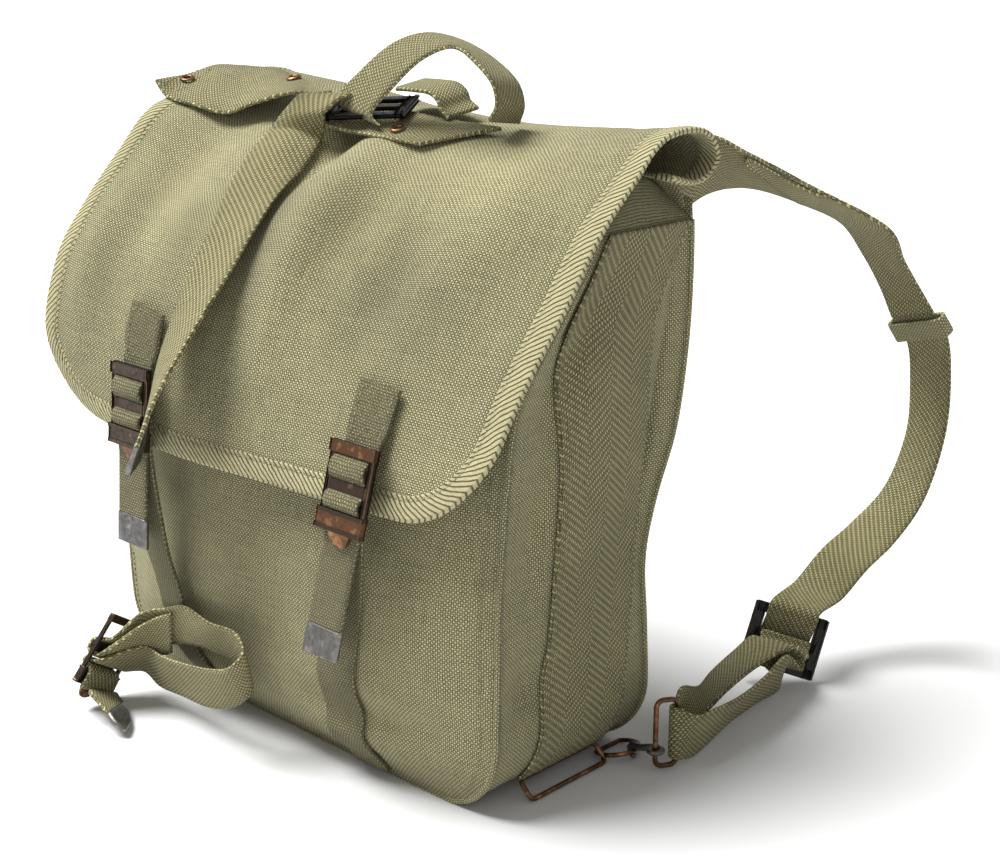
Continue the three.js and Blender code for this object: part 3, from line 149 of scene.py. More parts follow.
# Painted shade in the flap's folds and painted highlight on its ridges: across, up from the hem in mm, width,
# height in mm, tone
FLAP_SHADES = [
    (-0.070, 138, 0.034, 26, -0.30), (-0.050, 101, 0.040, 28, -0.24), (-0.040, 70, 0.034, 28, -0.14),
    (0.209, 107, 0.075, 34, -0.25), (0.143, 88, 0.060, 26, -0.13), (0.306, 97, 0.070, 28, -0.14),
    (-0.365, 96, 0.040, 32, -0.20), (-0.212, 109, 0.034, 26, -0.15), (-0.034, 35, 0.034, 24, -0.14),
    (-0.310, 124, 0.045, 34, 0.10), (0.330, 165, 0.130, 28, 0.12), (0.000, 192, 0.500, 30, 0.16),
]
# Middle of the side webbing: up, back
SIDE_WEBBING_ROWS = np.array([
    (0.035, 0.010), (0.150, 0.060), (0.330, 0.110), (0.520, 0.170), (0.720, 0.210), (0.800, 0.350),
    (0.860, 0.460),
])
# Section of the flap from the back over the ridge to the hem, at four places across: back, then up
FLAP_STATIONS = [-0.5, -0.2, 0.13, 0.5]
FLAP_BACK = np.array([
    (0.56, 0.58, 0.58, 0.55), (0.67, 0.70, 0.70, 0.70), (0.77, 0.81, 0.81, 0.82), (0.82, 0.86, 0.87, 0.885),
    (0.77, 0.81, 0.81, 0.82), (0.63, 0.66, 0.67, 0.67), (0.42, 0.45, 0.46, 0.47), (0.10, 0.16, 0.20, 0.28),
    (-0.23, -0.14, -0.06, 0.06), (-0.45, -0.42, -0.32, -0.15), (-0.67, -0.66, -0.51, -0.37),
    (-0.84, -0.82, -0.64, -0.52), (-0.94, -0.89, -0.74, -0.64), (-0.93, -0.92, -0.80, -0.72),
])
FLAP_UP = np.array([
    (0.931, 0.931, 0.928, 0.928), (0.919, 0.919, 0.916, 0.916), (0.928, 0.928, 0.925, 0.925),
    (0.952, 0.952, 0.950, 0.952), (0.985, 0.982, 0.972, 0.988), (1.030, 1.008, 0.978, 1.000),
    (1.035, 1.015, 0.979, 0.988), (1.015, 0.988, 0.967, 0.932), (0.985, 0.947, 0.922, 0.863),
    (0.915, 0.888, 0.850, 0.769), (0.835, 0.795, 0.760, 0.682), (0.755, 0.695, 0.665, 0.610),
    (0.640, 0.590, 0.565, 0.545), (0.530, 0.490, 0.478, 0.480),
])
# Strap routes: x, back, up, the direction across, and the width as a share where it isn't 1
RIGHT_PAD = [
    (0.230, 0.800, 0.770, 18, 0, 57, 1.93), (0.310, 0.808, 0.815, 20, -1, 55, 1.93),
    (0.385, 0.975, 0.868, 25, -18, 49, 1.93), (0.427, 1.071, 0.919, 30, -32, 41, 1.93),
    (0.453, 1.339, 0.907, 35, -41, 25, 1.93), (0.483, 1.741, 0.856, 30, -46, 20, 1.93),
    (0.553, 1.982, 0.802, 46, -20, 3, 1.60), (0.560, 2.143, 0.742, 37, -15, 2, 1.30),
    (0.577, 2.223, 0.694, 31, -11, 8, 1.08), (0.5995, 2.281, 0.6420, 33, -4, 10),
]
RIGHT_STRAP = [
    (0.600, 2.285, 0.640, 33, -4, 10), (0.620, 2.350, 0.598, 29, -4, 7), (0.613, 2.455, 0.507, 29, -4, 6),
    (0.603, 2.491, 0.408, 29, -5, 5), (0.577, 2.428, 0.294, 29, -4, -2), (0.543, 2.295, 0.225, 28, 2, -7),
    (0.520, 2.125, 0.183, 27, 9, -9), (0.508, 1.955, 0.140, 25, 15, -10),
]
# The right strap through its slider and back: down and out in the slider's plane
SLIDER_IN = [(-20, 4.6), (-14.5, 3.8), (-8, 0.4), (-1, -3.2), (5, -1.8), (8.5, 2), (13, 5.4)]
SLIDER_OUT = [(5, 10), (3, 5.6), (0.4, 3.6), (-2.6, 3.4)]
# Strap routes again, as above
LOWER_RUN = [
    (0.560, 1.437, 0.054, 12, -10, 26), (0.577, 1.170, 0.051, 14, -11, 24), (0.590, 0.911, 0.050, 15, -9, 24),
    (0.603, 0.679, 0.052, 11, -4, 27), (0.607, 0.518, 0.055, 7, -4, 29),
]
UPPER_RUN = [
    (0.571, 0.536, 0.078, -5, 8, 28), (0.550, 0.821, 0.075, -23, 19, -2), (0.533, 1.009, 0.078, -26, 15, -5),
    (0.520, 1.268, 0.084, -28, 11, -5), (0.527, 1.473, 0.093, -30, 0, -2),
]
TOP_LOOP = [
    (-0.062, 0.075, 1.0075, 29, -1, -6), (-0.013, 0.107, 1.054, 29, -4, -7),
    (0.053, 0.143, 1.099, 28, -8, -7), (0.113, 0.179, 1.117, 27, -12, -5), (0.157, 0.214, 1.111, 20, -20, -2),
    (0.197, 0.250, 1.090, 13, -26, 1), (0.233, 0.286, 1.057, 9, -28, 3), (0.232, 0.321, 1.024, 8, -29, 3),
    (0.205, 0.357, 0.996, 6, -29, 4),
]
LOW_LOOP = [
    (-0.310, -0.860, 0.081, 16, -10, 24), (-0.247, -0.875, 0.078, 13, -8, 26),
    (-0.173, -0.895, 0.087, 10, -9, 27), (-0.062, -0.925, 0.106, 8, -7, 28),
    (0.018, -0.935, 0.137, 6, -11, 27), (0.035, -0.900, 0.165, 8, -11, 26),
    (-0.010, -0.874, 0.185, 13, -9, 24), (-0.100, -0.874, 0.185, 19, -7, 22),
]
TOP_KEEPER = [
    (-0.068, 0.455, 1.034, -4, 27, 3, 0.9), (-0.010, 0.430, 1.036, -4, 27, 3, 0.9),
    (0.035, 0.420, 1.034, -4, 27, 3, 0.9), (0.056, 0.415, 1.024, -4, 27, 3, 0.9),
    (0.066, 0.412, 1.010, -4, 27, 3, 0.9), (0.086, 0.410, 0.9995, -3, 27, 3, 0.9),
]
LOW_TAIL = [
    (-0.280, -1.095, 0.024, -17, 20, -7), (-0.305, -1.085, 0.029, -15, 21, -9),
    (-0.332, -1.075, 0.035, -10, 23, -13),
]
LOW_TIP = [
    (-0.278, -1.097, 0.0235, -17, 20, -7, 1.02), (-0.252, -1.112, 0.018, -18, 20, -5, 0.9),
    (-0.222, -1.130, 0.012, -19, 20, -3, 0.45),
]
# The low strap in its buckle, and its curl behind: down and out in the buckle's plane
LOW_HUMP = [
    (42, 4.6), (36, 4.2), (31, 3.6), (29.2, 1), (28.9, -2), (27.3, -4), (25.7, -2), (25.5, 1), (24.6, 4.6),
]
LOW_CURL = [
    (10, 6), (12, 2.5), (13.6, -1.5), (15.4, -4.6), (18.5, -5.4), (21.4, -4.4), (22.4, -1.5), (22, 2.5),
]
# Strap routes again: behind the loop, and the end through the buckle
LOW_BACK = [
    (-0.187, -0.8415, 0.174, 10, -4, 27), (-0.247, -0.838, 0.156, 12, -4, 26),
    (-0.300, -0.856, 0.138, 10, -10, 25),
]
LOW_END = [
    (-0.287, -0.902, 0.123, 12, -9, 25), (-0.247, -0.884, 0.141, 9, -5, 27),
    (-0.207, -0.870, 0.156, 8, -4, 27),
]
# Pads on the ridge: near edge x, back, up, then the far edge
LEFT_PAD = [
    (-0.537, -0.161, 1.027, -0.573, 0.134, 1.027), (-0.507, -0.161, 1.003, -0.553, 0.250, 1.042),
    (-0.433, -0.143, 0.982, -0.490, 0.286, 1.045), (-0.347, -0.107, 0.976, -0.440, 0.304, 1.045),
    (-0.293, -0.054, 1.000, -0.387, 0.304, 1.045), (-0.193, 0.000, 1.024, -0.293, 0.223, 1.039),
    (-0.147, 0.018, 1.024, -0.140, 0.125, 1.024),
]
PAD_END = [
    (-0.133, 0.018, 0.976, -0.140, 0.304, 0.997), (-0.073, 0.036, 0.961, -0.067, 0.321, 0.991),
    (0.027, 0.054, 0.956, 0.050, 0.339, 0.988), (0.100, 0.071, 0.956, 0.207, 0.339, 0.986),
]
# Long end over the flap: across, from the hem, out, tilt
FLAP_STRAP = [
    (-0.170, 197, 3.4, 0), (-0.163, 191, 3.4, 0), (-0.147, 171, 3.4, 0), (-0.127, 147, 3.6, 2),
    (-0.114, 127, 4.2, 5), (-0.110, 112.5, 5, 8), (-0.110, 98.5, 6.4, 11), (-0.112, 81, 9.5, 20),
    (-0.115, 62, 14.5, 31), (-0.123, 45.5, 19, 40), (-0.130, 32.5, 21, 46), (-0.138, 20, 22, 50),
    (-0.144, 12, 22.5, 52),
]
# Straps in the closure buckle: down its length, out from the flap
TAB_ROUTE = [(-4, 3.4), (1.0, 3.8), (3.6, 7.4), (6.2, 10.4), (9.4, 11.2), (12.6, 10.4), (15.0, 7.2), (17, 4)]
STRAP_ROUTE = [
    (39, 3), (33, 3.1), (26.5, 3.1), (22.6, 4.2), (21.6, 7.2), (22.9, 10.4), (25.6, 11.2), (28.4, 10.0),
    (30.2, 7.0), (32.5, 5.5), (40, 5.5),
]
# Closure straps on the front: up, right x, left x, right lift, left lift
ANCHOR_ROWS = [
    (0.012, 0.212, -0.205, 0, 0), (0.035, 0.211, -0.207, 0, 0), (0.065, 0.210, -0.210, 0, 0),
    (0.090, 0.208, -0.212, 0, 0), (0.120, 0.207, -0.214, 0, 0), (0.180, 0.208, -0.218, 0, 0.01),
    (0.245, 0.218, -0.222, 0, 0.05), (0.310, 0.235, -0.225, 0.02, 0.10),
]


def hermite(xs, ys):
    """Smooth curve through a table; ys may have columns."""
    xs = np.asarray(xs, float)
    ys = np.asarray(ys, float)
    last = len(xs) - 1
    step = np.arange(last + 1)
    before, after = np.maximum(step - 1, 0), np.minimum(step + 1, last)
    run = xs[after] - xs[before]
    slopes = (ys[after] - ys[before]) / (run[:, None] if ys.ndim > 1 else run)

    def at(x):
        x = np.asarray(x, float)
        i = np.clip(np.searchsorted(xs, x) - 1, 0, last - 1)
        span = xs[i + 1] - xs[i]
        t = np.clip((x - xs[i]) / span, 0, 1)
        if ys.ndim > 1:
            t, span = t[..., None], span[..., None]
        start = (2 * t**3 - 3 * t**2 + 1) * ys[i] + (t**3 - 2 * t**2 + t) * span * slopes[i]
        return start + (3 * t**2 - 2 * t**3) * ys[i + 1] + (t**3 - t**2) * span * slopes[i + 1]

    return at


def smoothstep(x, low, high):
    t = np.clip((np.asarray(x, float) - low) / (high - low), 0, 1)
    return t * t * (3 - 2 * t)


def hill(d):
    return np.exp(-np.asarray(d) ** 2)


def joined(*runs):
    """Steps through runs that meet: from, to, count."""
    steps = [np.linspace(*run) for run in runs]
    return np.concatenate([run[:-1] for run in steps[:-1]] + steps[-1:])


def run_of(points):
    """Distance run along a line of points."""
    return np.concatenate([[0], np.cumsum(np.linalg.norm(np.diff(points, axis=0), axis=1))])


def unit(v):
    v = np.asarray(v, float)
    return v / np.maximum(np.linalg.norm(v, axis=-1, keepdims=True), 1e-9)


def between(grid, i, j, s, t):
    """Value of a grid at i + s, j + t."""
    near = grid[i, j] * (1 - s) + grid[i + 1, j] * s
    return near * (1 - t) + (grid[i, j + 1] * (1 - s) + grid[i + 1, j + 1] * s) * t


def noise(u, v, cell, seed):
    """Smooth value noise from -1 to 1, with cells of that size."""
    size = 61
    lattice = np.random.default_rng(seed).uniform(-1, 1, (size, size))
    a, b = np.asarray(u, float) / cell, np.asarray(v, float) / cell
    i, j = np.floor(a).astype(int), np.floor(b).astype(int)
    s, t = a - i, b - j
    s, t = s * s * (3 - 2 * s), t * t * (3 - 2 * t)
    at = lambda p, q: lattice[p % size, q % size]
    low = at(i, j) * (1 - s) + at(i + 1, j) * s
    return low * (1 - t) + (at(i, j + 1) * (1 - s) + at(i + 1, j + 1) * s) * t


# Materials
def new_material(name, roughness, metallic=0.0, sheen=0.0):
    material = bpy.data.materials.new(name)
    material.use_nodes = True
    tree = material.node_tree
    shader = tree.nodes["Principled BSDF"]
    shader.inputs["Roughness"].default_value = roughness
    shader.inputs["Metallic"].default_value = metallic
    shader.inputs["Sheen Weight"].default_value = sheen
    shader.inputs["Sheen Roughness"].default_value = 0.6
    return material, tree, shader


class Nodes:
    """Short names for the nodes of a material."""

    def __init__(self, tree):
        self.tree = tree

    def put(self, kind, inputs, **settings):
        node = self.tree.nodes.new(kind)
        for key, value in settings.items():
            setattr(node, key, value)
        for key, value in inputs.items():
            if hasattr(value, "is_output"):
                self.tree.links.new(value, node.inputs[key])
            else:
                node.inputs[key].default_value = value
        return node

    def math(self, operation, a, b=0.0):
        return self.put("ShaderNodeMath", {0: a, 1: b}, operation=operation).outputs[0]

    def add(self, a, b):
        return self.math("ADD", a, b)

    def sub(self, a, b):
        return self.math("SUBTRACT", a, b)

    def mul(self, a, b):
        return self.math("MULTIPLY", a, b)

    def mix(self, factor, a, b):
        node = self.put("ShaderNodeMix", {0: factor, 6: a, 7: b}, data_type="RGBA")
        return node.outputs[2]

    def noise(self, vector, scale, detail=2.0):
        return self.put("ShaderNodeTexNoise", {"Vector": vector, "Scale": scale, "Detail": detail}).outputs[0]

    def ramp(self, value, low, high):
        return self.put("ShaderNodeMapRange", {0: value, 1: low, 2: high, 3: 0.0, 4: 1.0}).outputs[0]

    def combine(self, x, y):
        return self.put("ShaderNodeCombineXYZ", {0: x, 1: y}).outputs[0]

    def bump(self, shader, strength, distance, height):
        node = self.put("ShaderNodeBump", {"Strength": strength, "Distance": distance, "Height": height})
        self.tree.links.new(node.outputs[0], shader.inputs["Normal"])


def cloth_material(name, dark, light, pitch, under, depth, zigzag=0.0, slant=0.0, ribs=None, fuzz=0.7):
    """Woven cloth: threads of two directions crossing, after UVs in millimetres."""
    material, tree, shader = new_material(name, 0.94, sheen=0.06)
    n = Nodes(tree)
    uv = n.put("ShaderNodeUVMap", {}, uv_map="UVMap").outputs[0]
    split = n.put("ShaderNodeSeparateXYZ", {0: uv})
    u, v = split.outputs[0], split.outputs[1]
    drift = n.mul(n.sub(n.noise(uv, 0.12, 1.0), 0.5), 1.3)
    u = n.add(u, drift)
    if zigzag:
        wave = n.math("PINGPONG", u, zigzag)
        v = n.add(v, n.mul(wave, 0.85))
    if slant:
        v = n.add(v, n.mul(u, slant))
    v = n.add(v, n.mul(drift, 0.7))
    if ribs:
        rib = n.add(n.mul(u, ribs[0]), n.mul(v, ribs[1]))
        height = n.math("ABSOLUTE", n.math("SINE", n.mul(rib, math.pi / pitch[0])))
    else:
        warp = n.math("SINE", n.mul(u, math.pi / pitch[0]))
        weft = n.math("SINE", n.mul(v, math.pi / pitch[1]))
        cross = n.mul(warp, weft)
        height = n.math("MAXIMUM", cross, n.mul(cross, -under))
    height = n.math("MINIMUM", n.mul(n.math("POWER", height, 0.9), 1.45), 1.0)
    slub = n.noise(n.combine(n.mul(u, 0.9), n.mul(v, 0.06)), 1.0, 1.0)
    slub2 = n.noise(n.combine(n.mul(u, 0.05), n.mul(v, 0.8)), 1.0, 1.0)
    fleck = n.noise(uv, 1.1, 3.0)
    threads = n.add(n.add(slub, slub2), n.mul(fleck, 1.0 + 0.5 * fuzz))
    threads = n.ramp(threads, 1.1, 2.1)
    place = n.put("ShaderNodeTexCoord", {}).outputs["Object"]
    cloud = n.noise(place, 14.0, 4.0)
    uneven = n.mul(n.sub(threads, 0.45), 0.24)
    blend = n.add(n.mul(height, 0.92), uneven)
    # Painted shade in the weave: the threads' low places take the dark colour
    colour = n.mix(n.math("MINIMUM", n.math("MAXIMUM", blend, 0.0), 1.0), dark, light)
    # The tone attribute scales the colour: painted shade and highlight where the pieces set it, uneven colour
    # elsewhere
    tone = n.put("ShaderNodeAttribute", {}, attribute_name="tone").outputs["Fac"]
    washed = n.mul(n.sub(cloud, 0.5), CLOTH_FADE)
    gain = n.add(washed, n.add(tone, 1.0))
    colour = n.put("ShaderNodeVectorMath", {0: colour, "Scale": gain}, operation="SCALE").outputs[0]
    tree.links.new(colour, shader.inputs["Base Color"])
    nap = n.mul(n.noise(uv, 1.9, 3.0), fuzz)
    n.bump(shader, depth, 0.0007, n.add(height, nap))
    return material


def metal_material(name, base, worn, roughness, amount):
    """Plated metal with its finish worn through in patches and on its edges."""
    material, tree, shader = new_material(name, roughness, metallic=0.9)
    n = Nodes(tree)
    place = n.put("ShaderNodeTexCoord", {}).outputs["Object"]
    patch = n.noise(place, 160.0, 5.0)
    edge = n.ramp(n.put("ShaderNodeNewGeometry", {}).outputs["Pointiness"], 0.52, 0.62)
    wear = n.add(n.ramp(patch, amount, amount + 0.14), edge)
    wear = n.math("MINIMUM", wear, 1.0)
    grime = n.ramp(n.noise(place, 368.0, 3.0), 0.35, 0.7)
    colour = n.mix(wear, base, worn)
    colour = n.mix(n.mul(grime, 0.35), colour, (0.02, 0.016, 0.012, 1))
    tree.links.new(colour, shader.inputs["Base Color"])
    rough = n.add(n.mul(grime, 0.22), roughness - 0.08)
    tree.links.new(rough, shader.inputs["Roughness"])
    n.bump(shader, 0.25, 0.0003, n.noise(place, 900.0, 3.0))
    return material


# Cloths: name, shadow and light colour, thread pitch in mm, lightness of threads below, relief, own settings
CLOTHS = [
    ("canvas", (0.040, 0.036, 0.015), (0.66, 0.610, 0.320), (1.15, 1.15), 0.28, 1.1, {}),
    ("webbing", (0.042, 0.036, 0.012), (0.64, 0.580, 0.270), (1.15, 1.9), 0.22, 1.3, {"slant": 0.6}),
    ("coarse_webbing", (0.040, 0.034, 0.012), (0.54, 0.49, 0.235), (1.0, 1.5), 0.25, 1.6, {"fuzz": 1.8}),
    ("side_webbing", (0.040, 0.035, 0.013), (0.52, 0.47, 0.225), (1.15, 1.9), 0.25, 1.3, {"zigzag": 15.0}),
    ("binding_tape", (0.040, 0.035, 0.014), (0.46, 0.42, 0.225), (2.4, 2.4), 0.3, 1.6, {"ribs": (0.75, 0.7)}),
    ("thread", (0.10, 0.09, 0.04), (0.40, 0.365, 0.20), (0.9, 0.9), 0.5, 0.3, {}),
]
CANVAS, WEBBING, COARSE, SIDE_WEAVE, TAPE, THREAD = [
    cloth_material(name, (*dark, 1), (*light, 1), pitch, under, depth, **own)
    for name, dark, light, pitch, under, depth, own in CLOTHS
]
BRONZE = metal_material("bronze", (0.022, 0.019, 0.017, 1), (0.20, 0.13, 0.085, 1), 0.40, 0.62)
COPPER = metal_material("copper", (0.085, 0.042, 0.022, 1), (0.36, 0.18, 0.085, 1), 0.36, 0.52)
STEEL = metal_material("steel", (0.13, 0.125, 0.12, 1), (0.26, 0.25, 0.24, 1), 0.40, 0.55)
BLACKED = metal_material("blacked", (0.012, 0.012, 0.013, 1), (0.10, 0.09, 0.08, 1), 0.36, 0.66)


# Meshes
def link(name, data):
    made = bpy.data.objects.new(name, data)
    bpy.context.scene.collection.objects.link(made)
    return made


def add_piece(name, mesh, nodes):
    piece = link(name, mesh)
    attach(piece, "root")
    if nodes:
        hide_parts(*nodes)
    return piece


def add_mesh(name, vertices, faces, uvs, tone, material, nodes=()):
    """A piece from points in millimetres, with one UV and one tone for each point."""
    mesh = bpy.data.meshes.new(name)
    mesh.from_pydata((np.asarray(vertices, float) * MM).tolist(), [], [tuple(f) for f in faces])
    mesh.update()
    layer = mesh.uv_layers.new(name="UVMap")
    loops = np.empty(len(mesh.loops), dtype=np.int32)
    mesh.loops.foreach_get("vertex_index", loops)
    layer.data.foreach_set("uv", np.asarray(uvs, float)[loops].astype(np.float32).ravel())
    # Tone holds painted shade and highlight in places, uneven colour elsewhere
    attribute = mesh.attributes.new("tone", "FLOAT", "POINT")
    values = np.broadcast_to(np.asarray(tone, float), (len(mesh.vertices),))
    attribute.data.foreach_set("value", np.ascontiguousarray(values, dtype=np.float32))
    mesh.polygons.foreach_set("use_smooth", [True] * len(mesh.polygons))
    maker = bmesh.new()
    maker.from_mesh(mesh)
    bmesh.ops.recalc_face_normals(maker, faces=maker.faces)
    maker.to_mesh(mesh)
    maker.free()
    mesh.materials.append(material)
    return add_piece(name, mesh, nodes)


def normals_of(grid):
    along = np.empty_like(grid)
    along[1:-1] = grid[2:] - grid[:-2]
    along[0], along[-1] = grid[1] - grid[0], grid[-1] - grid[-2]
    across = np.empty_like(grid)
    across[:, 1:-1] = grid[:, 2:] - grid[:, :-2]
    across[:, 0], across[:, -1] = grid[:, 1] - grid[:, 0], grid[:, -1] - grid[:, -2]
    return unit(np.cross(along, across))


def wall(name, outer, inner, uv, material, nodes=(), tone=0.0, rim=0.35):
    """A closed sheet between two grids, with a rounded rim."""
    rows, columns = outer.shape[:2]
    count = rows * columns
    index = np.arange(count).reshape(rows, columns)
    a, b, c, d = index[:-1, :-1], index[:-1, 1:], index[1:, 1:], index[1:, :-1]
    top = np.stack([a, b, c, d], -1).reshape(-1, 4)
    faces = [top, (top + count)[:, ::-1]]
    ring = np.concatenate([index[0], index[1:, -1], index[-1, -2::-1], index[-2:0:-1, 0]])
    inside = np.concatenate([
        index[1], index[1:-1, -2], [index[-2, -2]], index[-2, -2::-1], index[-2:0:-1, 1],
    ])[: len(ring)]
    flat_outer, flat_inner = outer.reshape(-1, 3), inner.reshape(-1, 3)
    middle = (flat_outer[ring] + flat_inner[ring]) / 2
    push = unit(middle - (flat_outer[inside] + flat_inner[inside]) / 2)
    thickness = np.linalg.norm(flat_outer[ring] - flat_inner[ring], axis=1, keepdims=True)
    middle = middle + push * thickness * rim
    ids = 2 * count + np.arange(len(ring))
    nxt = np.roll(ring, -1)
    faces.append(np.stack([ring, nxt, np.roll(ids, -1), ids], -1)[:, ::-1])
    faces.append(np.stack([ids, np.roll(ids, -1), nxt + count, ring + count], -1)[:, ::-1])
    vertices = np.concatenate([flat_outer, flat_inner, middle])
    flat_uv = uv.reshape(-1, 2)
    tones = np.broadcast_to(np.asarray(tone, float), (rows, columns)).reshape(-1)
    uvs = np.concatenate([flat_uv, flat_uv, flat_uv[ring] + 0.6])
    return add_mesh(
        name, vertices, np.concatenate(faces).tolist(), uvs, np.concatenate([tones, tones, tones[ring]]),
        material, nodes,
    )


class Sewing:
    """Stitches gathered along lines, made into one piece at the end."""

    def __init__(self):
        self.points = []
        self.faces = []

    def line(self, points, normals, radius=0.36):
        points = np.asarray(points, float)
        normals = np.broadcast_to(np.asarray(normals, float), points.shape)
        run = run_of(points)
        count = max(int(run[-1] / STITCH_PITCH), 1)
        for k in range(count):
            low = (k + 0.5 - STITCH_SHARE / 2) * run[-1] / count
            ends = [low + f * STITCH_SHARE * STITCH_PITCH for f in (0.0, 0.22, 0.78, 1.0)]
            middle = np.stack([np.interp(ends, run, points[:, i]) for i in range(3)], -1)
            up = unit(np.stack([np.interp(ends, run, normals[:, i]) for i in range(3)], -1))
            ahead = unit(middle[-1] - middle[0])
            side = unit(np.cross(up, ahead))
            first = len(self.points)
            self.points.append(middle[0] - up[0] * radius * 0.8)
            for j in (1, 2):
                for turn in np.arange(6) * math.pi / 3:
                    spoke = math.cos(turn) * side[j] + math.sin(turn) * up[j]
                    self.points.append(middle[j] + radius * spoke)
            self.points.append(middle[3] - up[3] * radius * 0.8)
            for m in range(6):
                nxt = (m + 1) % 6
                self.faces.append((first, first + 1 + nxt, first + 1 + m))
                self.faces.append((first + 1 + m, first + 1 + nxt, first + 7 + nxt, first + 7 + m))
                self.faces.append((first + 13, first + 7 + m, first + 7 + nxt))

    def make(self, name, slot):
        points = np.array(self.points)
        add_mesh(name, points, self.faces, points[:, :2] * 0.7 + points[:, 2:] * 0.4, 0.05, THREAD)


BODY_SEWING, FLAP_SEWING, STRAP_SEWING = Sewing(), Sewing(), Sewing()

# Body
SEAM = {
    key: hermite(SEAM_ROWS[:, 0], SEAM_ROWS[:, i + 1])
    for i, key in enumerate(["right", "left", "rear", "crown", "hollow"])
}
WEBBING_BACK = hermite(SIDE_WEBBING_ROWS[:, 0], SIDE_WEBBING_ROWS[:, 1])


def panel_half_width(z):
    drop = np.maximum(CORNER_RADIUS - np.asarray(z, float), 0)
    return BAG_WIDTH / 2 - CORNER_RADIUS + np.sqrt(np.maximum(CORNER_RADIUS**2 - drop**2, 0))


def inboard(x, z):
    return 1 - np.minimum(np.abs(x) / panel_half_width(z), 1) ** 2.6


def dents(rows, a, b):
    return sum(push * hill((a - p) / wide) * hill((b - q) / tall) for p, q, wide, tall, push in rows)


def front_y(x, z):
    up = z / RIDGE_HEIGHT
    share = smoothstep(x / BAG_WIDTH, -0.5, 0.5)
    seam = SEAM["left"](up) * (1 - share) + SEAM["right"](up) * share
    return BAG_DEPTH * (seam - (SEAM["crown"](up) + dents(FRONT_DENTS, x / BAG_WIDTH, up)) * inboard(x, z))


def rear_y(x, z):
    up = z / RIDGE_HEIGHT
    return BAG_DEPTH * (SEAM["rear"](up) + SEAM["hollow"](up) * inboard(x, z))


def seam_heights(corner_steps, side_steps):
    low = CORNER_RADIUS * (1 - np.cos(np.linspace(0, math.pi / 2, corner_steps + 1)))
    return np.concatenate([low, np.linspace(CORNER_RADIUS, SEAM_HEIGHT, side_steps + 1)[1:]])


def add_panel(name, heights, face_y, inward, columns, seed):
    z = np.repeat(heights[:, None], columns + 1, 1)
    x = np.linspace(-1, 1, columns + 1)[None] * panel_half_width(z)
    edge = panel_half_width(z) - np.abs(x)
    fade = smoothstep(edge, 0, 12) * smoothstep(z, 0, 14)
    ripple = 0.5 * noise(x, z * 0.8, 34, seed) + 0.22 * noise(x * 1.3, z * 0.7, 13, seed + 1)
    pucker = 0.42 * noise(z + x * 0.2, x * 0.25, 7.5, seed + 2) * hill((edge - 9) / 7) * smoothstep(z, 4, 30)
    y = face_y(x, z) - inward * (ripple * fade + pucker)
    outer = np.stack([x, y, z], -1)
    inner = outer + np.array([0, inward * CLOTH_WALL, 0])
    # Painted shade: darker at the seam by the panel's edges, along the stitch line and towards the floor; the
    # noise is uneven colour
    tone = -0.18 * hill(edge / 3.5) - 0.10 * hill((z - 4) / 20) + 0.05 * noise(x, z, 60, seed + 3)
    tone = tone - 0.12 * hill((edge - SEAM_STITCH_INSET) / 1.2)
    return wall(name, outer, inner, np.stack([x, z], -1), CANVAS, [name], tone)


add_panel("front_panel", seam_heights(20, 96), front_y, 1, 110, 3)
add_panel("back_panel", np.append(seam_heights(14, 80), BACK_TOP), rear_y, -1, 90, 11)


def gusset_outline(corner_steps, side_steps, base_steps):
    """Places round the gusset from top right to top left: x, z, turn, distance run."""
    half = BAG_WIDTH / 2
    sides = np.linspace(SEAM_HEIGHT, CORNER_RADIUS, side_steps + 1)[:-1]
    right = [(half, z, 0.0) for z in sides]
    for i in range(corner_steps, 0, -1):
        z = CORNER_RADIUS * (1 - math.cos(math.pi / 2 * i / corner_steps))
        right.append((float(panel_half_width(z)), z, math.asin(1 - z / CORNER_RADIUS)))
    straight = half - CORNER_RADIUS
    base = [(x, 0.0, math.pi / 2) for x in np.linspace(straight, -straight, base_steps + 1)]
    left = [(-x, z, math.pi - turn) for x, z, turn in reversed(right)]
    places = np.array(right + base + left)
    return np.column_stack([places, run_of(places[:, :2])])


def gusset_edges(x, z):
    return front_y(x, z) + CLOTH_WALL + CLEARANCE, rear_y(x, z) - CLOTH_WALL - CLEARANCE


def side_dent(z, across, rows):
    edge = np.sin(math.pi * np.clip(across, 0, 1)) ** 0.5
    return BAG_WIDTH * dents(rows, across, z / RIDGE_HEIGHT) * smoothstep(z, 0, CORNER_RADIUS) * edge


def gusset_point(place, across, outset, creased=True):
    x, z, turn = place[..., 0], place[..., 1], place[..., 2]
    front, rear = gusset_edges(x, z)
    reach = outset - side_dent(z, across, SIDE_DENTS)
    if creased:
        reach = reach - side_dent(z, across, SIDE_CREASES)
    return np.stack([x + np.cos(turn) * reach, front + (rear - front) * across, z - np.sin(turn) * reach], -1)


def webbing_edges(place):
    x, z = place[..., 0], place[..., 1]
    front, rear = gusset_edges(x, z)
    middle = WEBBING_BACK(z / RIDGE_HEIGHT) * BAG_DEPTH
    return [(middle + s * SIDE_WEBBING - front) / (rear - front) for s in (-0.5, 0.5)]


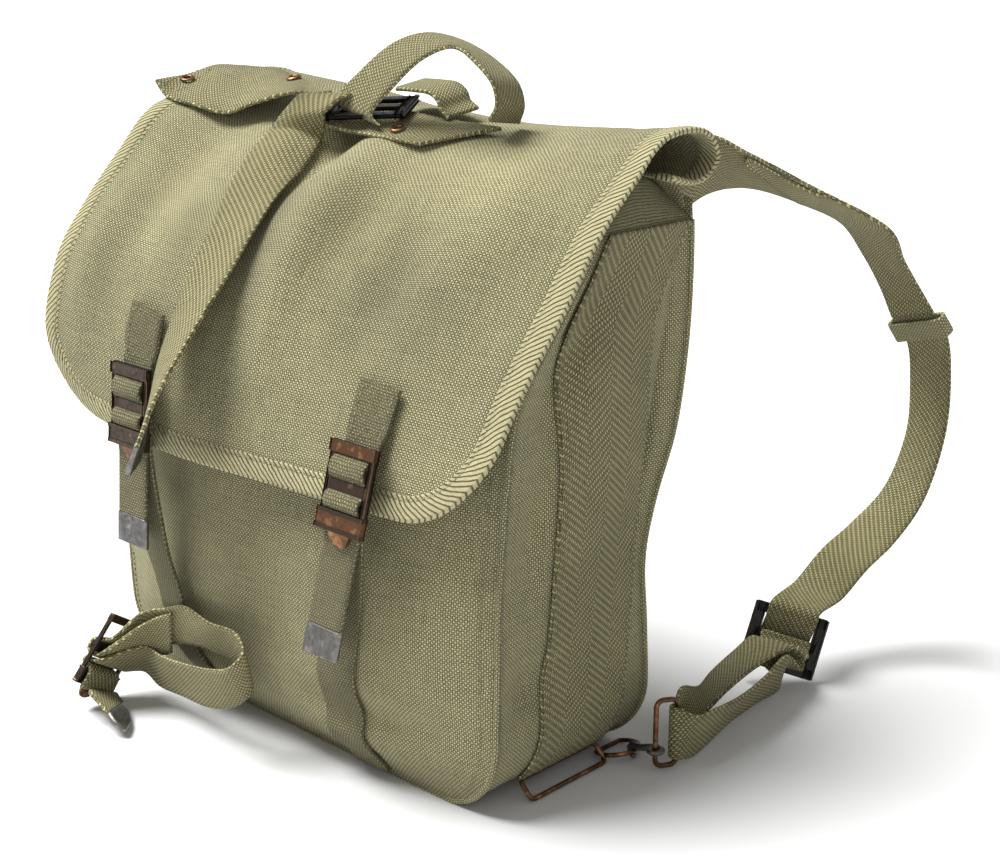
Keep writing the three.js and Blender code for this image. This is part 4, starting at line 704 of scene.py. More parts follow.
outline = gusset_outline(14, 70, 60)
low_edge, high_edge = webbing_edges(outline)
across_rows = []
for low, high in zip(low_edge, high_edge):
    across_rows.append(joined((0, low, 15), (low, high, 15), (high, 1, 19)))
across_grid = np.array(across_rows)
place_grid = np.repeat(outline[:, None, :], across_grid.shape[1], 1)
face = gusset_point(place_grid, across_grid, 0.0)
depth = face[..., 1]
ripple = 0.45 * noise(place_grid[..., 3], depth, 26, 21) + 0.22 * noise(place_grid[..., 3], depth, 9, 22)
low_edge, high_edge = low_edge[:, None], high_edge[:, None]
past_low = smoothstep(across_grid, low_edge - 0.05, low_edge)
past_high = smoothstep(across_grid, high_edge, high_edge + 0.05)
free = smoothstep(across_grid, 0, 0.08) * smoothstep(1 - across_grid, 0, 0.08)
free = free * (1 - past_low * (1 - past_high))
normal = np.stack([np.cos(place_grid[..., 2]), 0 * depth, -np.sin(place_grid[..., 2])], -1)
free = free * smoothstep(place_grid[..., 1], 2, 20)
face = face + normal * (ripple * free - 0.2 * (free > 0))[..., None]
# Painted shade: the gusset is darker by both seams, in its long crease at the back and towards the floor
front_gap = face[..., 1] - face[:, :1, 1]
rear_gap = face[:, -1:, 1] - face[..., 1]
long_crease_shade = hill((across_grid - 0.875) / 0.02) * hill((place_grid[..., 1] / RIDGE_HEIGHT - 0.55) / 0.2)
tone = -0.3 * hill(front_gap / 2.5) - 0.3 * hill(rear_gap / 2.5) - 0.25 * long_crease_shade
tone = tone - 0.15 * hill((place_grid[..., 1] - 2) / 14)
uv = np.stack([depth, place_grid[..., 3]], -1)
wall("gusset", face, face - normal * CLOTH_WALL, uv, CANVAS, ["gusset"], tone)

webbing_foot = CORNER_RADIUS * (1 - math.cos(math.pi / 4))
for name, hand in (("side_webbing_right", 1), ("side_webbing_left", -1)):
    dense = gusset_outline(24, 150, 4)
    keep = (dense[:, 0] * hand > 0) & (dense[:, 1] > webbing_foot - CLEARANCE)
    places = dense[keep]
    low, high = webbing_edges(places)
    share = np.linspace(0, 1, SIDE_COLUMNS + 1)
    across = low[:, None] + (high - low)[:, None] * share
    grid = np.repeat(places[:, None, :], SIDE_COLUMNS + 1, 1)
    lift = 0.25 * noise(grid[..., 3], share[None] * 60, 22, 31) * np.sin(math.pi * share)[None]
    rim_side = np.where(share == 0, -1, 0) + np.where(share == 1, 1, 0)
    zigzag = 0.25 * np.where(np.arange(len(places)) % 2, 1, -1)[:, None] * rim_side[None]
    outer = gusset_point(grid, across, CLEARANCE + WEBBING_WALL + lift, False)
    inner = gusset_point(grid, across, CLEARANCE + lift, False)
    outer[..., 1] += zigzag
    inner[..., 1] += zigzag
    uv = np.stack([np.broadcast_to(share * SIDE_WEBBING, across.shape), grid[..., 3]], -1)
    edge = np.minimum(share, 1 - share) * SIDE_WEBBING
    tone = np.broadcast_to(-0.10 * hill((edge - 3.2) / 1.0), across.shape)
    wall(name, outer, inner, uv, SIDE_WEAVE, [name], tone, rim=0.5)
    flat_normal = np.stack([np.cos(places[:, 2]), 0 * places[:, 0], -np.sin(places[:, 2])], -1)
    for column in (2, SIDE_COLUMNS - 2):
        BODY_SEWING.line(outer[3:-3, column] + flat_normal[3:-3] * 0.05, flat_normal[3:-3])


def seam_line(face_y, inset, out, places):
    x = places[:, 0] - np.cos(places[:, 2]) * inset
    z = places[:, 1] + np.sin(places[:, 2]) * inset
    return np.stack([x, face_y(x, z) + out, z], -1)


BODY_SEWING.line(seam_line(front_y, SEAM_STITCH_INSET, -0.12, outline), (0, -1, 0))
BODY_SEWING.line(seam_line(rear_y, SEAM_STITCH_INSET, 0.12, outline), (0, 1, 0))


def band(here, there, sides):
    """Faces between two rings of points, from their first numbers."""
    return [(here + k, here + (k + 1) % sides, there + (k + 1) % sides, there + k) for k in range(sides)]


def tube(name, points, radius, material, nodes=(), closed=False, sides=12):
    """A round wire along points."""
    points = np.asarray(points, float)
    count = len(points)
    if closed:
        ahead = unit(np.roll(points, -1, 0) - np.roll(points, 1, 0))
    else:
        ahead = unit(np.gradient(points, axis=0))
    side = np.empty_like(points)
    seed = np.array([0.0, 0.0, 1.0]) if abs(ahead[0][2]) < 0.9 else np.array([1.0, 0.0, 0.0])
    side[0] = unit(np.cross(seed, ahead[0]))
    for i in range(1, count):
        side[i] = unit(side[i - 1] - ahead[i] * np.dot(side[i - 1], ahead[i]))
    up = np.cross(ahead, side)
    if closed:
        last = side[-1] - ahead[0] * np.dot(side[-1], ahead[0])
        twist = math.atan2(np.dot(last, up[0]), np.dot(last, side[0]))
        turns = -twist * np.arange(count) / count
        side, up = (
            side * np.cos(turns)[:, None] + up * np.sin(turns)[:, None],
            up * np.cos(turns)[:, None] - side * np.sin(turns)[:, None],
        )
    radius = np.broadcast_to(np.asarray(radius, float), (count,))
    turn = np.arange(sides) * 2 * math.pi / sides
    sideways = side[:, None] * (np.cos(turn)[None, :, None] * radius[:, None, None])
    upwards = up[:, None] * (np.sin(turn)[None, :, None] * radius[:, None, None])
    vertices = (points[:, None] + sideways + upwards).reshape(-1, 3)
    faces = []
    for i in range(count if closed else count - 1):
        here, there = i * sides, ((i + 1) % count) * sides
        faces += band(here, there, sides)
    if not closed:
        faces += [tuple(range(sides - 1, -1, -1)), tuple(range((count - 1) * sides, count * sides))]
    uvs = np.stack([np.tile(turn * radius.mean(), count), np.repeat(run_of(points), sides)], -1)
    add_mesh(name, vertices, faces, uvs, 0.0, material, nodes)


for name, face_y, out in (("front_seam", front_y, 0.7), ("back_seam", rear_y, -0.7)):
    tube(name, seam_line(face_y, 0.4, out, outline), SEAM_CORD_RADIUS, CANVAS, sides=8)


# Collar
def collar_point(along, rise, inset):
    half = BAG_WIDTH / 2
    leg = np.minimum(np.floor(along * 3), 2)
    part = along * 3 - leg
    hand = np.where(leg == 2, -1, 1)
    side = leg != 1
    x = np.clip(np.where(side, hand * half, half - 2 * half * part), inset - half, half - inset)
    share = np.where(leg == 0, 1 - part, part)
    tall = np.where(side, 0.75 - 0.15 * share + 0.35 * np.sin(math.pi * share), 0.75)
    height = SEAM_HEIGHT + CLEARANCE + rise * tall * COLLAR_RISE
    front = front_y(x, SEAM_HEIGHT + 0 * x)
    rear = rear_y(x, height) - CLOTH_WALL - CLEARANCE
    y = np.maximum(np.where(side, front + (rear - front) * share, front), front + inset)
    front_lean = np.where(side, 1 - share, 1)
    narrowed = x * (1 - rise * 2.2 * COLLAR_LEAN / BAG_WIDTH)
    return np.stack([narrowed, y + rise * front_lean * 1.7 * COLLAR_LEAN, height], -1)


along, rise = np.meshgrid(np.linspace(0, 1, 241), np.linspace(0, 1, 13), indexing="ij")
collar_wave = 0.5 * noise(along * COLLAR_RUN, rise * 30, 24, 41) * np.sin(math.pi * rise)
outer = collar_point(along, rise, 0 * along)
inner = collar_point(along, rise, CLOTH_WALL + 0 * along)
outer[..., 2] += 0.6 * collar_wave
inner[..., 2] += 0.6 * collar_wave
uv = np.stack([along * COLLAR_RUN, rise * 18], -1)
# Painted shade: the collar is darker at its foot, by the seam
wall("collar", outer, inner, uv, CANVAS, ["collar"], -0.12 * hill(rise / 0.1))
start = along[:, 0]
sideways = np.where(start < 1 / 3, 1, np.where(start > 2 / 3, -1, 0))
forwards = np.where((start > 1 / 3) & (start < 2 / 3), -1, 0)
collar_out = unit(np.stack([sideways, forwards, 0.2 + 0 * start], -1))
BODY_SEWING.line(outer[:, 2] + collar_out * 0.1, collar_out)

# Flap
stations = np.linspace(-0.5, 0.5, FLAP_COLUMNS + 1)
steps = np.linspace(0, len(FLAP_BACK) - 1, SECTION_STEPS + 1)
rows_at = np.arange(len(FLAP_BACK))
section_y = hermite(FLAP_STATIONS, hermite(rows_at, FLAP_BACK)(steps).T)(stations) * BAG_DEPTH
section_z = hermite(FLAP_STATIONS, hermite(rows_at, FLAP_UP)(steps).T)(stations) * RIDGE_HEIGHT
section_steps = np.hypot(np.diff(section_y, axis=1), np.diff(section_z, axis=1))
section_run = np.concatenate([np.zeros((FLAP_COLUMNS + 1, 1)), np.cumsum(section_steps, axis=1)], 1)
FLAP_LENGTHS = section_run[:, -1]
parts = np.linspace(0, 1, FLAP_ROWS + 1)
FLAP_Y = np.array([np.interp(parts * run[-1], run, line) for run, line in zip(section_run, section_y)])
FLAP_Z = np.array([np.interp(parts * run[-1], run, line) for run, line in zip(section_run, section_z)])


def flap_length(across):
    return np.interp(np.clip(across, -0.5, 0.5), stations, FLAP_LENGTHS)


def flap_raw(across, distance):
    across, distance = np.broadcast_arrays(np.asarray(across, float), np.asarray(distance, float))
    a = (np.clip(across, -0.5, 0.5) + 0.5) * FLAP_COLUMNS
    i = np.clip(np.floor(a).astype(int), 0, FLAP_COLUMNS - 1)
    q = distance / flap_length(across) * FLAP_ROWS
    j = np.clip(np.floor(q).astype(int), 0, FLAP_ROWS - 1)
    u, v = a - i, q - j
    return np.stack([across * FLAP_WIDTH, between(FLAP_Y, i, j, u, v), between(FLAP_Z, i, j, u, v)], -1)


def flap_normal(across, distance):
    step = 3.0
    side = step / FLAP_WIDTH
    length = flap_length(across)
    down, up = np.minimum(distance + step, length), np.maximum(distance - step, 0)
    right, left = np.minimum(across + side, 0.5), np.maximum(across - side, -0.5)
    along = flap_raw(across, down) - flap_raw(across, up)
    return unit(np.cross(along, flap_raw(right, distance) - flap_raw(left, distance)))


def flap_point(across, distance, out, detail=0.0):
    across, distance = np.broadcast_arrays(np.asarray(across, float), np.asarray(distance, float))
    held = 1 - np.minimum(np.abs(across) * 2, 1) ** 6
    push = FOLD_DEPTH * dents(FLAP_DENTS, across, distance / flap_length(across)) * held
    reach = out + push * BAG_DEPTH + detail
    return flap_raw(across, distance) + flap_normal(across, distance) * np.asarray(reach)[..., None]


def flap_half_width(from_hem, inset):
    radius = HEM_RADIUS - inset
    drop = np.maximum(radius - np.maximum(from_hem - inset, 0), 0)
    return FLAP_WIDTH / 2 - inset - radius + np.sqrt(np.maximum(radius**2 - drop**2, 0))


CLOTH_INSET = BINDING_WIDTH - 3


def flap_grid(out):
    lean = np.linspace(-1, 1, CLOTH_STEPS + 1)
    radius = HEM_RADIUS - CLOTH_INSET
    middle = float(flap_length(0.0))
    points, uv = [], []
    for step in np.concatenate([np.arange(CLOTH_STEPS) / CLOTH_STEPS, 1 + np.arange(21) / 4]):
        if step < 1:
            from_hem = lambda length: length * (1 - step) + HEM_RADIUS * step
        else:
            corner = CLOTH_INSET + radius * (1 - math.sin(math.pi / 2 * (step - 1) / 5))
            from_hem = lambda length: corner + 0 * length
        across = lean * flap_half_width(from_hem(middle), CLOTH_INSET) / FLAP_WIDTH
        length = flap_length(across)
        down = length - from_hem(length)
        x = across * FLAP_WIDTH
        hem = from_hem(length)
        side = FLAP_WIDTH / 2 - np.abs(x)
        fade = smoothstep(side, 8, 30) * smoothstep(hem, 8, 30) * smoothstep(down, 4, 20)
        detail = fade * (0.55 * noise(x, hem * 0.8, 30, 51) + 0.25 * noise(x, hem, 12, 52))
        detail = detail + 0.30 * noise(x * 0.3, hem, 8, 53) * hill((side - 16) / 7)
        detail = detail + 0.30 * noise(x, hem * 0.3, 8, 54) * hill((hem - 16) / 7)
        points.append(flap_point(across, down, out, detail))
        uv.append(np.stack([x, hem], -1))
    return np.array(points), np.array(uv)


outer, uv = flap_grid(0.0)
inner = flap_grid(-CLOTH_WALL)[0]
side = FLAP_WIDTH / 2 - np.abs(uv[..., 0])
near = np.minimum(side, uv[..., 1])
lean = uv[..., 0] / FLAP_WIDTH
# Painted shade and highlight of the flap's folds, from FLAP_SHADES
painted_fold_shade = np.clip(dents(FLAP_SHADES, lean, uv[..., 1]), -0.6, 0.3)
# Painted shade along the binding's inner edge; the noise is uneven colour
tone = -0.30 * hill((near - BINDING_WIDTH) / 1.6) + 0.08 * noise(uv[..., 0], uv[..., 1], 70, 55) + painted_fold_shade
flap = wall("flap", outer, inner, uv, CANVAS, ["flap"], tone)

# Cloth that joins the top of the back to the start of the flap
root_x = np.linspace(-0.488, 0.488, 90)[:, None] * BAG_WIDTH
root_rise = np.linspace(0, 1, 9)[None]
root_low = np.stack(np.broadcast_arrays(root_x, rear_y(root_x, BACK_TOP) - 1.1, BACK_TOP - ROOT_LAP), -1)
root_high = flap_point(root_x / FLAP_WIDTH, ROOT_REACH, -CLOTH_WALL - 0.2)
root = root_low + (root_high - root_low) * root_rise[..., None]
root_swell = np.sin(math.pi * root_rise)
root[..., 1] += 2.2 * root_swell + 0.5 * noise(root_x, 30 * root_rise, 22, 71) * root_swell
root_uv = np.stack([root_x + 0 * root_rise, (ROOT_LAP + ROOT_REACH) * root_rise + 0 * root_x], -1)
# Painted shade: the root cloth is a tenth darker all over, inside the flap's roll
wall("flap_root", root, root - np.array([0, ROOT_WALL, 0]), root_uv, CANVAS, tone=-0.1)


def binding_point(along, inset, out):
    along, inset = np.broadcast_arrays(np.asarray(along, float), np.asarray(inset, float))
    radius = HEM_RADIUS - inset
    straight = FLAP_WIDTH / 2 - HEM_RADIUS
    part = np.abs(along)
    hand = np.where(along < 0, -1, 1)
    turn = math.pi / 2 * np.clip(part - 1, 0, 1)
    x = np.where(part > 1, straight + radius * np.sin(turn), straight * part)
    across = hand * np.where(part > 2, FLAP_WIDTH / 2 - inset, x) / FLAP_WIDTH
    length = flap_length(across)
    on_side = (length - HEM_RADIUS) * (3 - part)
    distance = np.where(part > 2, on_side, length - inset - radius * (1 - np.cos(turn)))
    return flap_point(across, distance, out)


alongs = joined((-3, -2, 190), (-2, -1, 46), (-1, 1, 170), (1, 2, 46), (2, 3, 190))
shares = np.linspace(0, 1, 9)
proud = (BINDING_WALL - CLOTH_WALL) / 2
spread = alongs[:, None] + 0 * shares[None]
insets = shares[None] * BINDING_WIDTH + 0 * alongs[:, None]
bulge = proud * (0.45 + 0.75 * np.sin(math.pi * np.clip(shares, 0.04, 0.96)) ** 0.5)[None]
wobble = 0.16 * noise(alongs[:, None] * 220, shares[None] * 8, 5.5, 61)
pinch = -0.5 * hill((insets - BINDING_STITCH_INSET) / 0.9)
outer = binding_point(spread, insets, bulge + wobble + pinch)
inner = binding_point(spread, insets, -CLOTH_WALL - bulge - wobble)
middle_line = binding_point(alongs, 5.0 + 0 * alongs, 0 * alongs)
uv = np.stack([insets, np.repeat(run_of(middle_line)[:, None], len(shares), 1)], -1)
# Painted shade in the stitch groove; the binding is a little lighter at its folded outer edge
tone = -0.25 * hill((insets - BINDING_STITCH_INSET) / 0.8) + 0.10 * hill(insets / 2)
flap_binding = wall("flap_binding", outer, inner, uv, TAPE, ["flap_binding"], tone, rim=0.45)
stitch_inset = BINDING_STITCH_INSET + 0 * alongs
stitch_line = binding_point(alongs, stitch_inset, proud * 0.55 + 0 * alongs)
below_line = binding_point(alongs, stitch_inset, -2 + 0 * alongs)
FLAP_SEWING.line(stitch_line, unit(stitch_line - below_line), radius=0.42)
under_line = binding_point(alongs, stitch_inset, -CLOTH_WALL - proud * 0.8 + 0 * alongs)
FLAP_SEWING.line(under_line, unit(under_line - stitch_line))


# Straps
def catmull(points, counts):
    """Centripetal curve through points of any shape after the first axis; counts per span."""
    points = np.asarray(points, float)
    padded = np.concatenate([[2 * points[0] - points[1]], points, [2 * points[-1] - points[-2]]])
    rows = []
    for i in range(len(points) - 1):
        p0, p1, p2, p3 = padded[i : i + 4]
        gap = lambda a, b: np.maximum(np.linalg.norm(b - a, axis=-1, keepdims=True) ** 0.5, 1e-4)
        d0, d1, d2 = gap(p0, p1), gap(p1, p2), gap(p2, p3)
        t1 = ((p1 - p0) / d0 - (p2 - p0) / (d0 + d1) + (p2 - p1) / d1) * d1
        t2 = ((p2 - p1) / d1 - (p3 - p1) / (d1 + d2) + (p3 - p2) / d2) * d1
        for t in np.arange(counts[i]) / counts[i]:
            square, cube = -3 * p1 + 3 * p2 - 2 * t1 - t2, 2 * p1 - 2 * p2 + t1 + t2
            rows.append(p1 + t1 * t + square * t**2 + cube * t**3)
    rows.append(points[-1])
    return np.array(rows)


class Strap:
    """A strap along stops, each a row of points across it; keeps its surface for what is sewn on."""

    def __init__(
        self, name, stops, material=WEBBING, slot="webbing", thickness=WEBBING_WALL,
        columns=10, pitch=1.15, edge=0.12,
    ):
        stops = np.asarray(stops, float)
        spans = np.linalg.norm(np.diff(stops.mean(1), axis=0), axis=1)
        curve = catmull(stops, np.maximum(np.round(spans / pitch).astype(int), 2))
        k = curve.shape[1]
        flat = curve.transpose(1, 0, 2).reshape(k, -1)
        share = np.linspace(0, 1, columns + 1)
        grid = hermite(np.linspace(0, 1, k), flat)(share).reshape(columns + 1, -1, 3).transpose(1, 0, 2)
        normals = normals_of(grid)
        middle = grid[:, columns // 2]
        self.run = run_of(middle)
        self.width = np.linalg.norm(grid[:, -1] - grid[:, 0], axis=1)
        cross = unit(grid[:, -1] - grid[:, 0])
        inset = 0.3 * thickness - edge * np.where(np.arange(len(grid)) % 2, 0.5, -0.5)
        pull = inset[:, None, None] * (1 - 2 * share)[None, :, None]
        grid = grid + cross[:, None] * pull
        self.grid, self.normals, self.thickness = grid, normals, thickness
        across = (share[None] - 0.5) * self.width[:, None]
        uv = np.stack([across, np.repeat(self.run[:, None], columns + 1, 1)], -1)
        rim_tone = -0.02 - 0.10 * hill((np.abs(share - 0.5) - 0.44) / 0.05)
        half, tone = normals * thickness / 2, np.broadcast_to(rim_tone, across.shape)
        wall(name, grid + half, grid - half, uv, material, [name], tone, rim=0.3)

    def at(self, across, along, out):
        """Points and normals: across from the middle, along, out from the upper face (negative: lower)."""
        across, along = np.broadcast_arrays(np.asarray(across, float), np.asarray(along, float))
        along = np.where(along < 0, self.run[-1] + along, along)
        row = np.interp(along, self.run, np.arange(len(self.run)))
        i = np.clip(np.floor(row).astype(int), 0, len(self.run) - 2)
        t = (row - i)[..., None]
        width = np.interp(along, self.run, self.width)
        column = (across / width + 0.5) * (self.grid.shape[1] - 1)
        j = np.clip(np.floor(column).astype(int), 0, self.grid.shape[1] - 2)
        s = (column - j)[..., None]
        normal = unit(between(self.normals, i, j, t, s))
        face = 1 if out >= 0 else -1
        return between(self.grid, i, j, t, s) + normal * (self.thickness / 2 * face + out), normal * face

    def sew(self, path, out=0.1):
        """Stitches along corners given as (across, along)."""
        path = np.asarray(path, float)
        for a, b in zip(path[:-1], path[1:]):
            count = max(int(np.linalg.norm(b - a)), 2)
            line = a + (b - a) * np.linspace(0, 1, count)[:, None]
            points, normals = self.at(line[:, 0], line[:, 1], out)
            STRAP_SEWING.line(points, normals)

    def box(self, low, high, out=0.1):
        """Stitches round a rectangle between two places along the strap."""
        half = float(np.interp(low, self.run, self.width)) / 2 - BOX_MARGIN
        self.sew([(-half, low), (half, low), (half, high), (-half, high), (-half, low)], out)


def place_of(x, back, up):
    return np.array([x * BAG_WIDTH, back * BAG_DEPTH, up * RIDGE_HEIGHT])


def across_stop(middle, across, width):
    return np.array([middle - unit(across) * width / 2, middle + unit(across) * width / 2])


def table_stops(rows):
    stops = []
    for row in rows:
        width = STRAP_WIDTH * (row[6] if len(row) > 6 else 1)
        stops.append(across_stop(place_of(*row[:3]), np.array(row[3:6], float), width))
    return stops


class Plane:
    """A flat frame in space: across, down and out from its origin."""

    def __init__(self, origin, across, down):
        self.origin = np.asarray(origin, float)
        self.across = unit(across)
        down = np.asarray(down, float)
        self.down = unit(down - self.across * np.dot(down, self.across))
        self.out = np.cross(self.down, self.across)

    def at(self, across, down, out):
        return self.origin + self.across * across + self.down * down + self.out * out


def plates(name, plane, boxes, nodes=()):
    """Rounded bars and plates in a plane: from and to down, across and out, then edge radius and material."""
    maker = bmesh.new()
    materials = []
    for d0, d1, a0, a1, o0, o1, radius, material in boxes:
        if material not in materials:
            materials.append(material)
        made = bmesh.ops.create_cube(maker, size=1.0)["verts"]
        for vertex in made:
            a, d, o = vertex.co
            spot = a0 + (a + 0.5) * (a1 - a0), d0 + (d + 0.5) * (d1 - d0), o0 + (o + 0.5) * (o1 - o0)
            vertex.co = Vector(plane.at(*spot) * MM)
        edges = list({edge for vertex in made for edge in vertex.link_edges})
        faces = {face for vertex in made for face in vertex.link_faces}
        for one in faces:
            one.material_index = materials.index(material)
        bmesh.ops.bevel(maker, geom=edges, offset=radius * MM, segments=3, profile=0.6, affect="EDGES")
    bmesh.ops.recalc_face_normals(maker, faces=maker.faces)
    finish_metal(name, maker, materials, nodes)


def finish_metal(name, maker, materials, nodes):
    mesh = bpy.data.meshes.new(name)
    maker.to_mesh(mesh)
    maker.free()
    mesh.polygons.foreach_set("use_smooth", [True] * len(mesh.polygons))
    mesh.set_sharp_from_angle(angle=math.radians(50))
    for material in materials:
        mesh.materials.append(material)
    add_piece(name, mesh, nodes)


def add_buckle(suffix, plane, width, out):
    plate = COPPER if suffix == "right" else BRONZE
    half = width / 2 + CLEARANCE
    outer = width / 2 + BUCKLE_RAIL
    brim = outer + 0.8
    back, wall_out = out, out + BUCKLE_WALL
    plates(f"buckle_{suffix}", plane, [
        (-2, BUCKLE_LENGTH - 2, -outer, -half, back, wall_out, 0.6, BRONZE),
        (-2, BUCKLE_LENGTH - 2, half, outer, back, wall_out, 0.6, BRONZE),
        (-2.6, 2, -outer - 0.2, outer + 0.2, back - 0.2, wall_out + 0.9, 0.7, plate),
        (*BUCKLE_BAR, -half - 0.5, half + 0.5, back, wall_out, 0.9, BRONZE),
        (BUCKLE_PLATE, BUCKLE_LENGTH, -outer - 0.6, outer + 0.6, back, wall_out + 1.2, 0.6, plate),
        (BUCKLE_PLATE - 0.4, BUCKLE_PLATE + 0.8, -brim, brim, back - 0.4, wall_out + 1.6, 0.4, BRONZE),
        (BUCKLE_LENGTH - 1.2, BUCKLE_LENGTH + 0.2, -brim, brim, back, wall_out + 1.5, 0.4, BRONZE),
    ], [f"buckle_{suffix}"])
    turn = np.linspace(-math.pi / 2, math.pi / 2, 25)
    rim = [(LEVER_RADIUS * math.sin(t), BUCKLE_LENGTH + CLEARANCE + LEVER_RADIUS * math.cos(t)) for t in turn]
    maker = bmesh.new()
    bowed = lambda a, d, rise: plane.at(a, d, out + rise - 0.02 * (d - BUCKLE_LENGTH) ** 2)
    low, high = [
        [maker.verts.new(Vector(bowed(a, d, rise) * MM)) for a, d in rim] for rise in (0.1, BUCKLE_WALL * 0.7)
    ]
    maker.faces.new(high)
    maker.faces.new(low[::-1])
    for i in range(len(rim)):
        j = (i + 1) % len(rim)
        maker.faces.new([low[i], low[j], high[j], high[i]])
    bmesh.ops.recalc_face_normals(maker, faces=maker.faces)
    top_edges = [e for e in maker.edges if all(v in high for v in e.verts)]
    bmesh.ops.bevel(maker, geom=top_edges, offset=0.45 * MM, segments=2, affect="EDGES")
    finish_metal(f"buckle_lever_{suffix}", maker, [COPPER], [f"buckle_lever_{suffix}"])


def add_tip(name, stops):
    """Folded metal end of a strap."""
    Strap(name, stops, STEEL, "steel", TIP_WALL, columns=8, pitch=1.0, edge=0.0)


def add_closure(side, x, buckle_from_hem, tip_height, drift):
    share = x / FLAP_WIDTH
    length = float(flap_length(share))
    skin = CLEARANCE + WEBBING_WALL / 2
    top = flap_point(share, length - buckle_from_hem, 0.0)
    foot = flap_point(share, length, 0.0)
    plane = Plane(top, (1, 0, 0), foot - top)
    thirds = np.array([-0.5, 0, 0.5])
    on_flap = lambda h: flap_point(share + thirds * CLOSURE_WIDTH / FLAP_WIDTH, length - h, skin + TAB_LIFT)
    on_plane = lambda row: np.array([plane.at(p * CLOSURE_WIDTH, *row) for p in thirds])
    tab_tops = [buckle_from_hem + 3 + p * (TAB_LENGTH - 3) for p in (1, 0.67, 0.33)]
    tab_stops = [on_flap(h) for h in tab_tops] + [on_plane(r) for r in TAB_ROUTE]
    Strap(f"flap_tab_{side}", tab_stops, COARSE).box(2.5, 26)
    add_buckle(side, plane, CLOSURE_WIDTH, BUCKLE_STAND)
    column = 1 if side == "right" else 2

    def on_front(z, at, extra):
        columns = at + thirds * CLOSURE_WIDTH
        heights = z + 0 * columns
        return np.stack([columns, front_y(columns, heights) - skin - 0.9 - extra, heights], -1)

    anchored = [
        on_front(row[0] * RIDGE_HEIGHT, row[column] * BAG_WIDTH, row[column + 2] * BAG_DEPTH)
        for row in ANCHOR_ROWS
    ]
    last = plane.at(0, *STRAP_ROUTE[-1])

    def tail_at(z, width):
        part = (last[2] - z) / (last[2] - tip_height)
        at = x + drift * part
        y = min(on_front(z, at, WEBBING_WALL + 1.2)[:, 1].min(), last[1] - 3 * part)
        return np.array([(at + p * width, y, z) for p in thirds])

    tip_top = tip_height + TIP_LENGTH
    blend = lambda a, b, p: a + (b - a) * p
    tail = [tail_at(blend(last[2], tip_top + CLEARANCE, p), CLOSURE_WIDTH) for p in (0.3, 0.6, 1)]
    strap = Strap(f"closure_strap_{side}", anchored + [on_plane(r) for r in STRAP_ROUTE] + tail, COARSE)
    strap.box(2, 12, out=-0.1 if strap.normals[0, 5, 1] > 0 else 0.1)
    tip_stops = [tail_at(blend(tip_top, tip_height, p), CLOSURE_WIDTH + TIP_SPARE) for p in (0, 0.5, 1)]
    add_tip(f"strap_tip_{side}", tip_stops)


add_closure("right", x=83.5, buckle_from_hem=27.5, tip_height=79.5, drift=-17)
add_closure("left", x=-69, buckle_from_hem=38.5, tip_height=107, drift=-2)


# Wire fittings
def rounded_loop(corners, radius, per_corner, per_side):
    points = []
    for i, corner in enumerate(corners):
        before, after = unit(corners[i - 1] - corner), unit(corners[(i + 1) % 4] - corner)
        for k in range(per_corner + 1):
            turn = math.pi / 2 * k / per_corner
            back, on = 1 - math.sin(turn), 1 - math.cos(turn)
            points.append(corner + before * radius * back + after * radius * on)
        end = corners[(i + 1) % 4] - after * radius
        start = points[-1]
        points += [start + (end - start) * k / per_side for k in range(1, per_side)]
    return np.array(points)


for name, hand in (("side_ring_right", 1), ("side_ring_left", -1)):
    low = RING_WIRE / 2 + CLEARANCE
    high = webbing_foot - RING_WIRE / 2 - 4 * CLEARANCE
    middle = float(WEBBING_BACK(webbing_foot / RIDGE_HEIGHT)) * BAG_DEPTH
    inner_x = hand * (BAG_WIDTH / 2 - RING_INSET)
    outer_x = inner_x + hand * RING_DROP
    corners = [np.array(c, float) for c in (
        (inner_x, middle - RING_WIDTH / 2, high), (outer_x, middle - RING_WIDTH / 2, low),
        (outer_x, middle + RING_WIDTH / 2, low), (inner_x, middle + RING_WIDTH / 2, high))]
    tube(name, rounded_loop(corners, 3, 6, 4), RING_WIRE / 2, COPPER, [name], closed=True)

for name, hand in (("corner_ring_right", 1), ("corner_ring_left", -1)):
    turn = np.arange(RING_STEPS) * 2 * math.pi / RING_STEPS
    reach = np.maximum(np.cos(turn), -RING_FLAT)
    points = np.stack([
        hand * (CORNER_RING_X + CORNER_RING_RADIUS * reach),
        CORNER_RING_Y + CORNER_RING_RADIUS * np.sin(turn),
        RING_WIRE / 2 + CLEARANCE + CORNER_RING_RISE * (reach + RING_FLAT) / (1 + RING_FLAT),
    ], -1)
    tube(name, points, RING_WIRE / 2, COPPER, [name], closed=True)

loop_middle = place_of(0.5767, 0.425, 0.0645)
loop_across = unit((0.5, 0.86, 0))
corners = [
    loop_middle + loop_across * side * LOOP_WIDTH / 2 + np.array([0, 0, rise * LOOP_HEIGHT / 2])
    for side, rise in ((-1, -1), (1, -1), (1, 1), (-1, 1))
]
loop_path = rounded_loop(corners, 4, 6, 5)
tube("hook_loop_right", loop_path, LOOP_WIRE / 2, COPPER, ["hook_loop_right"], closed=True)

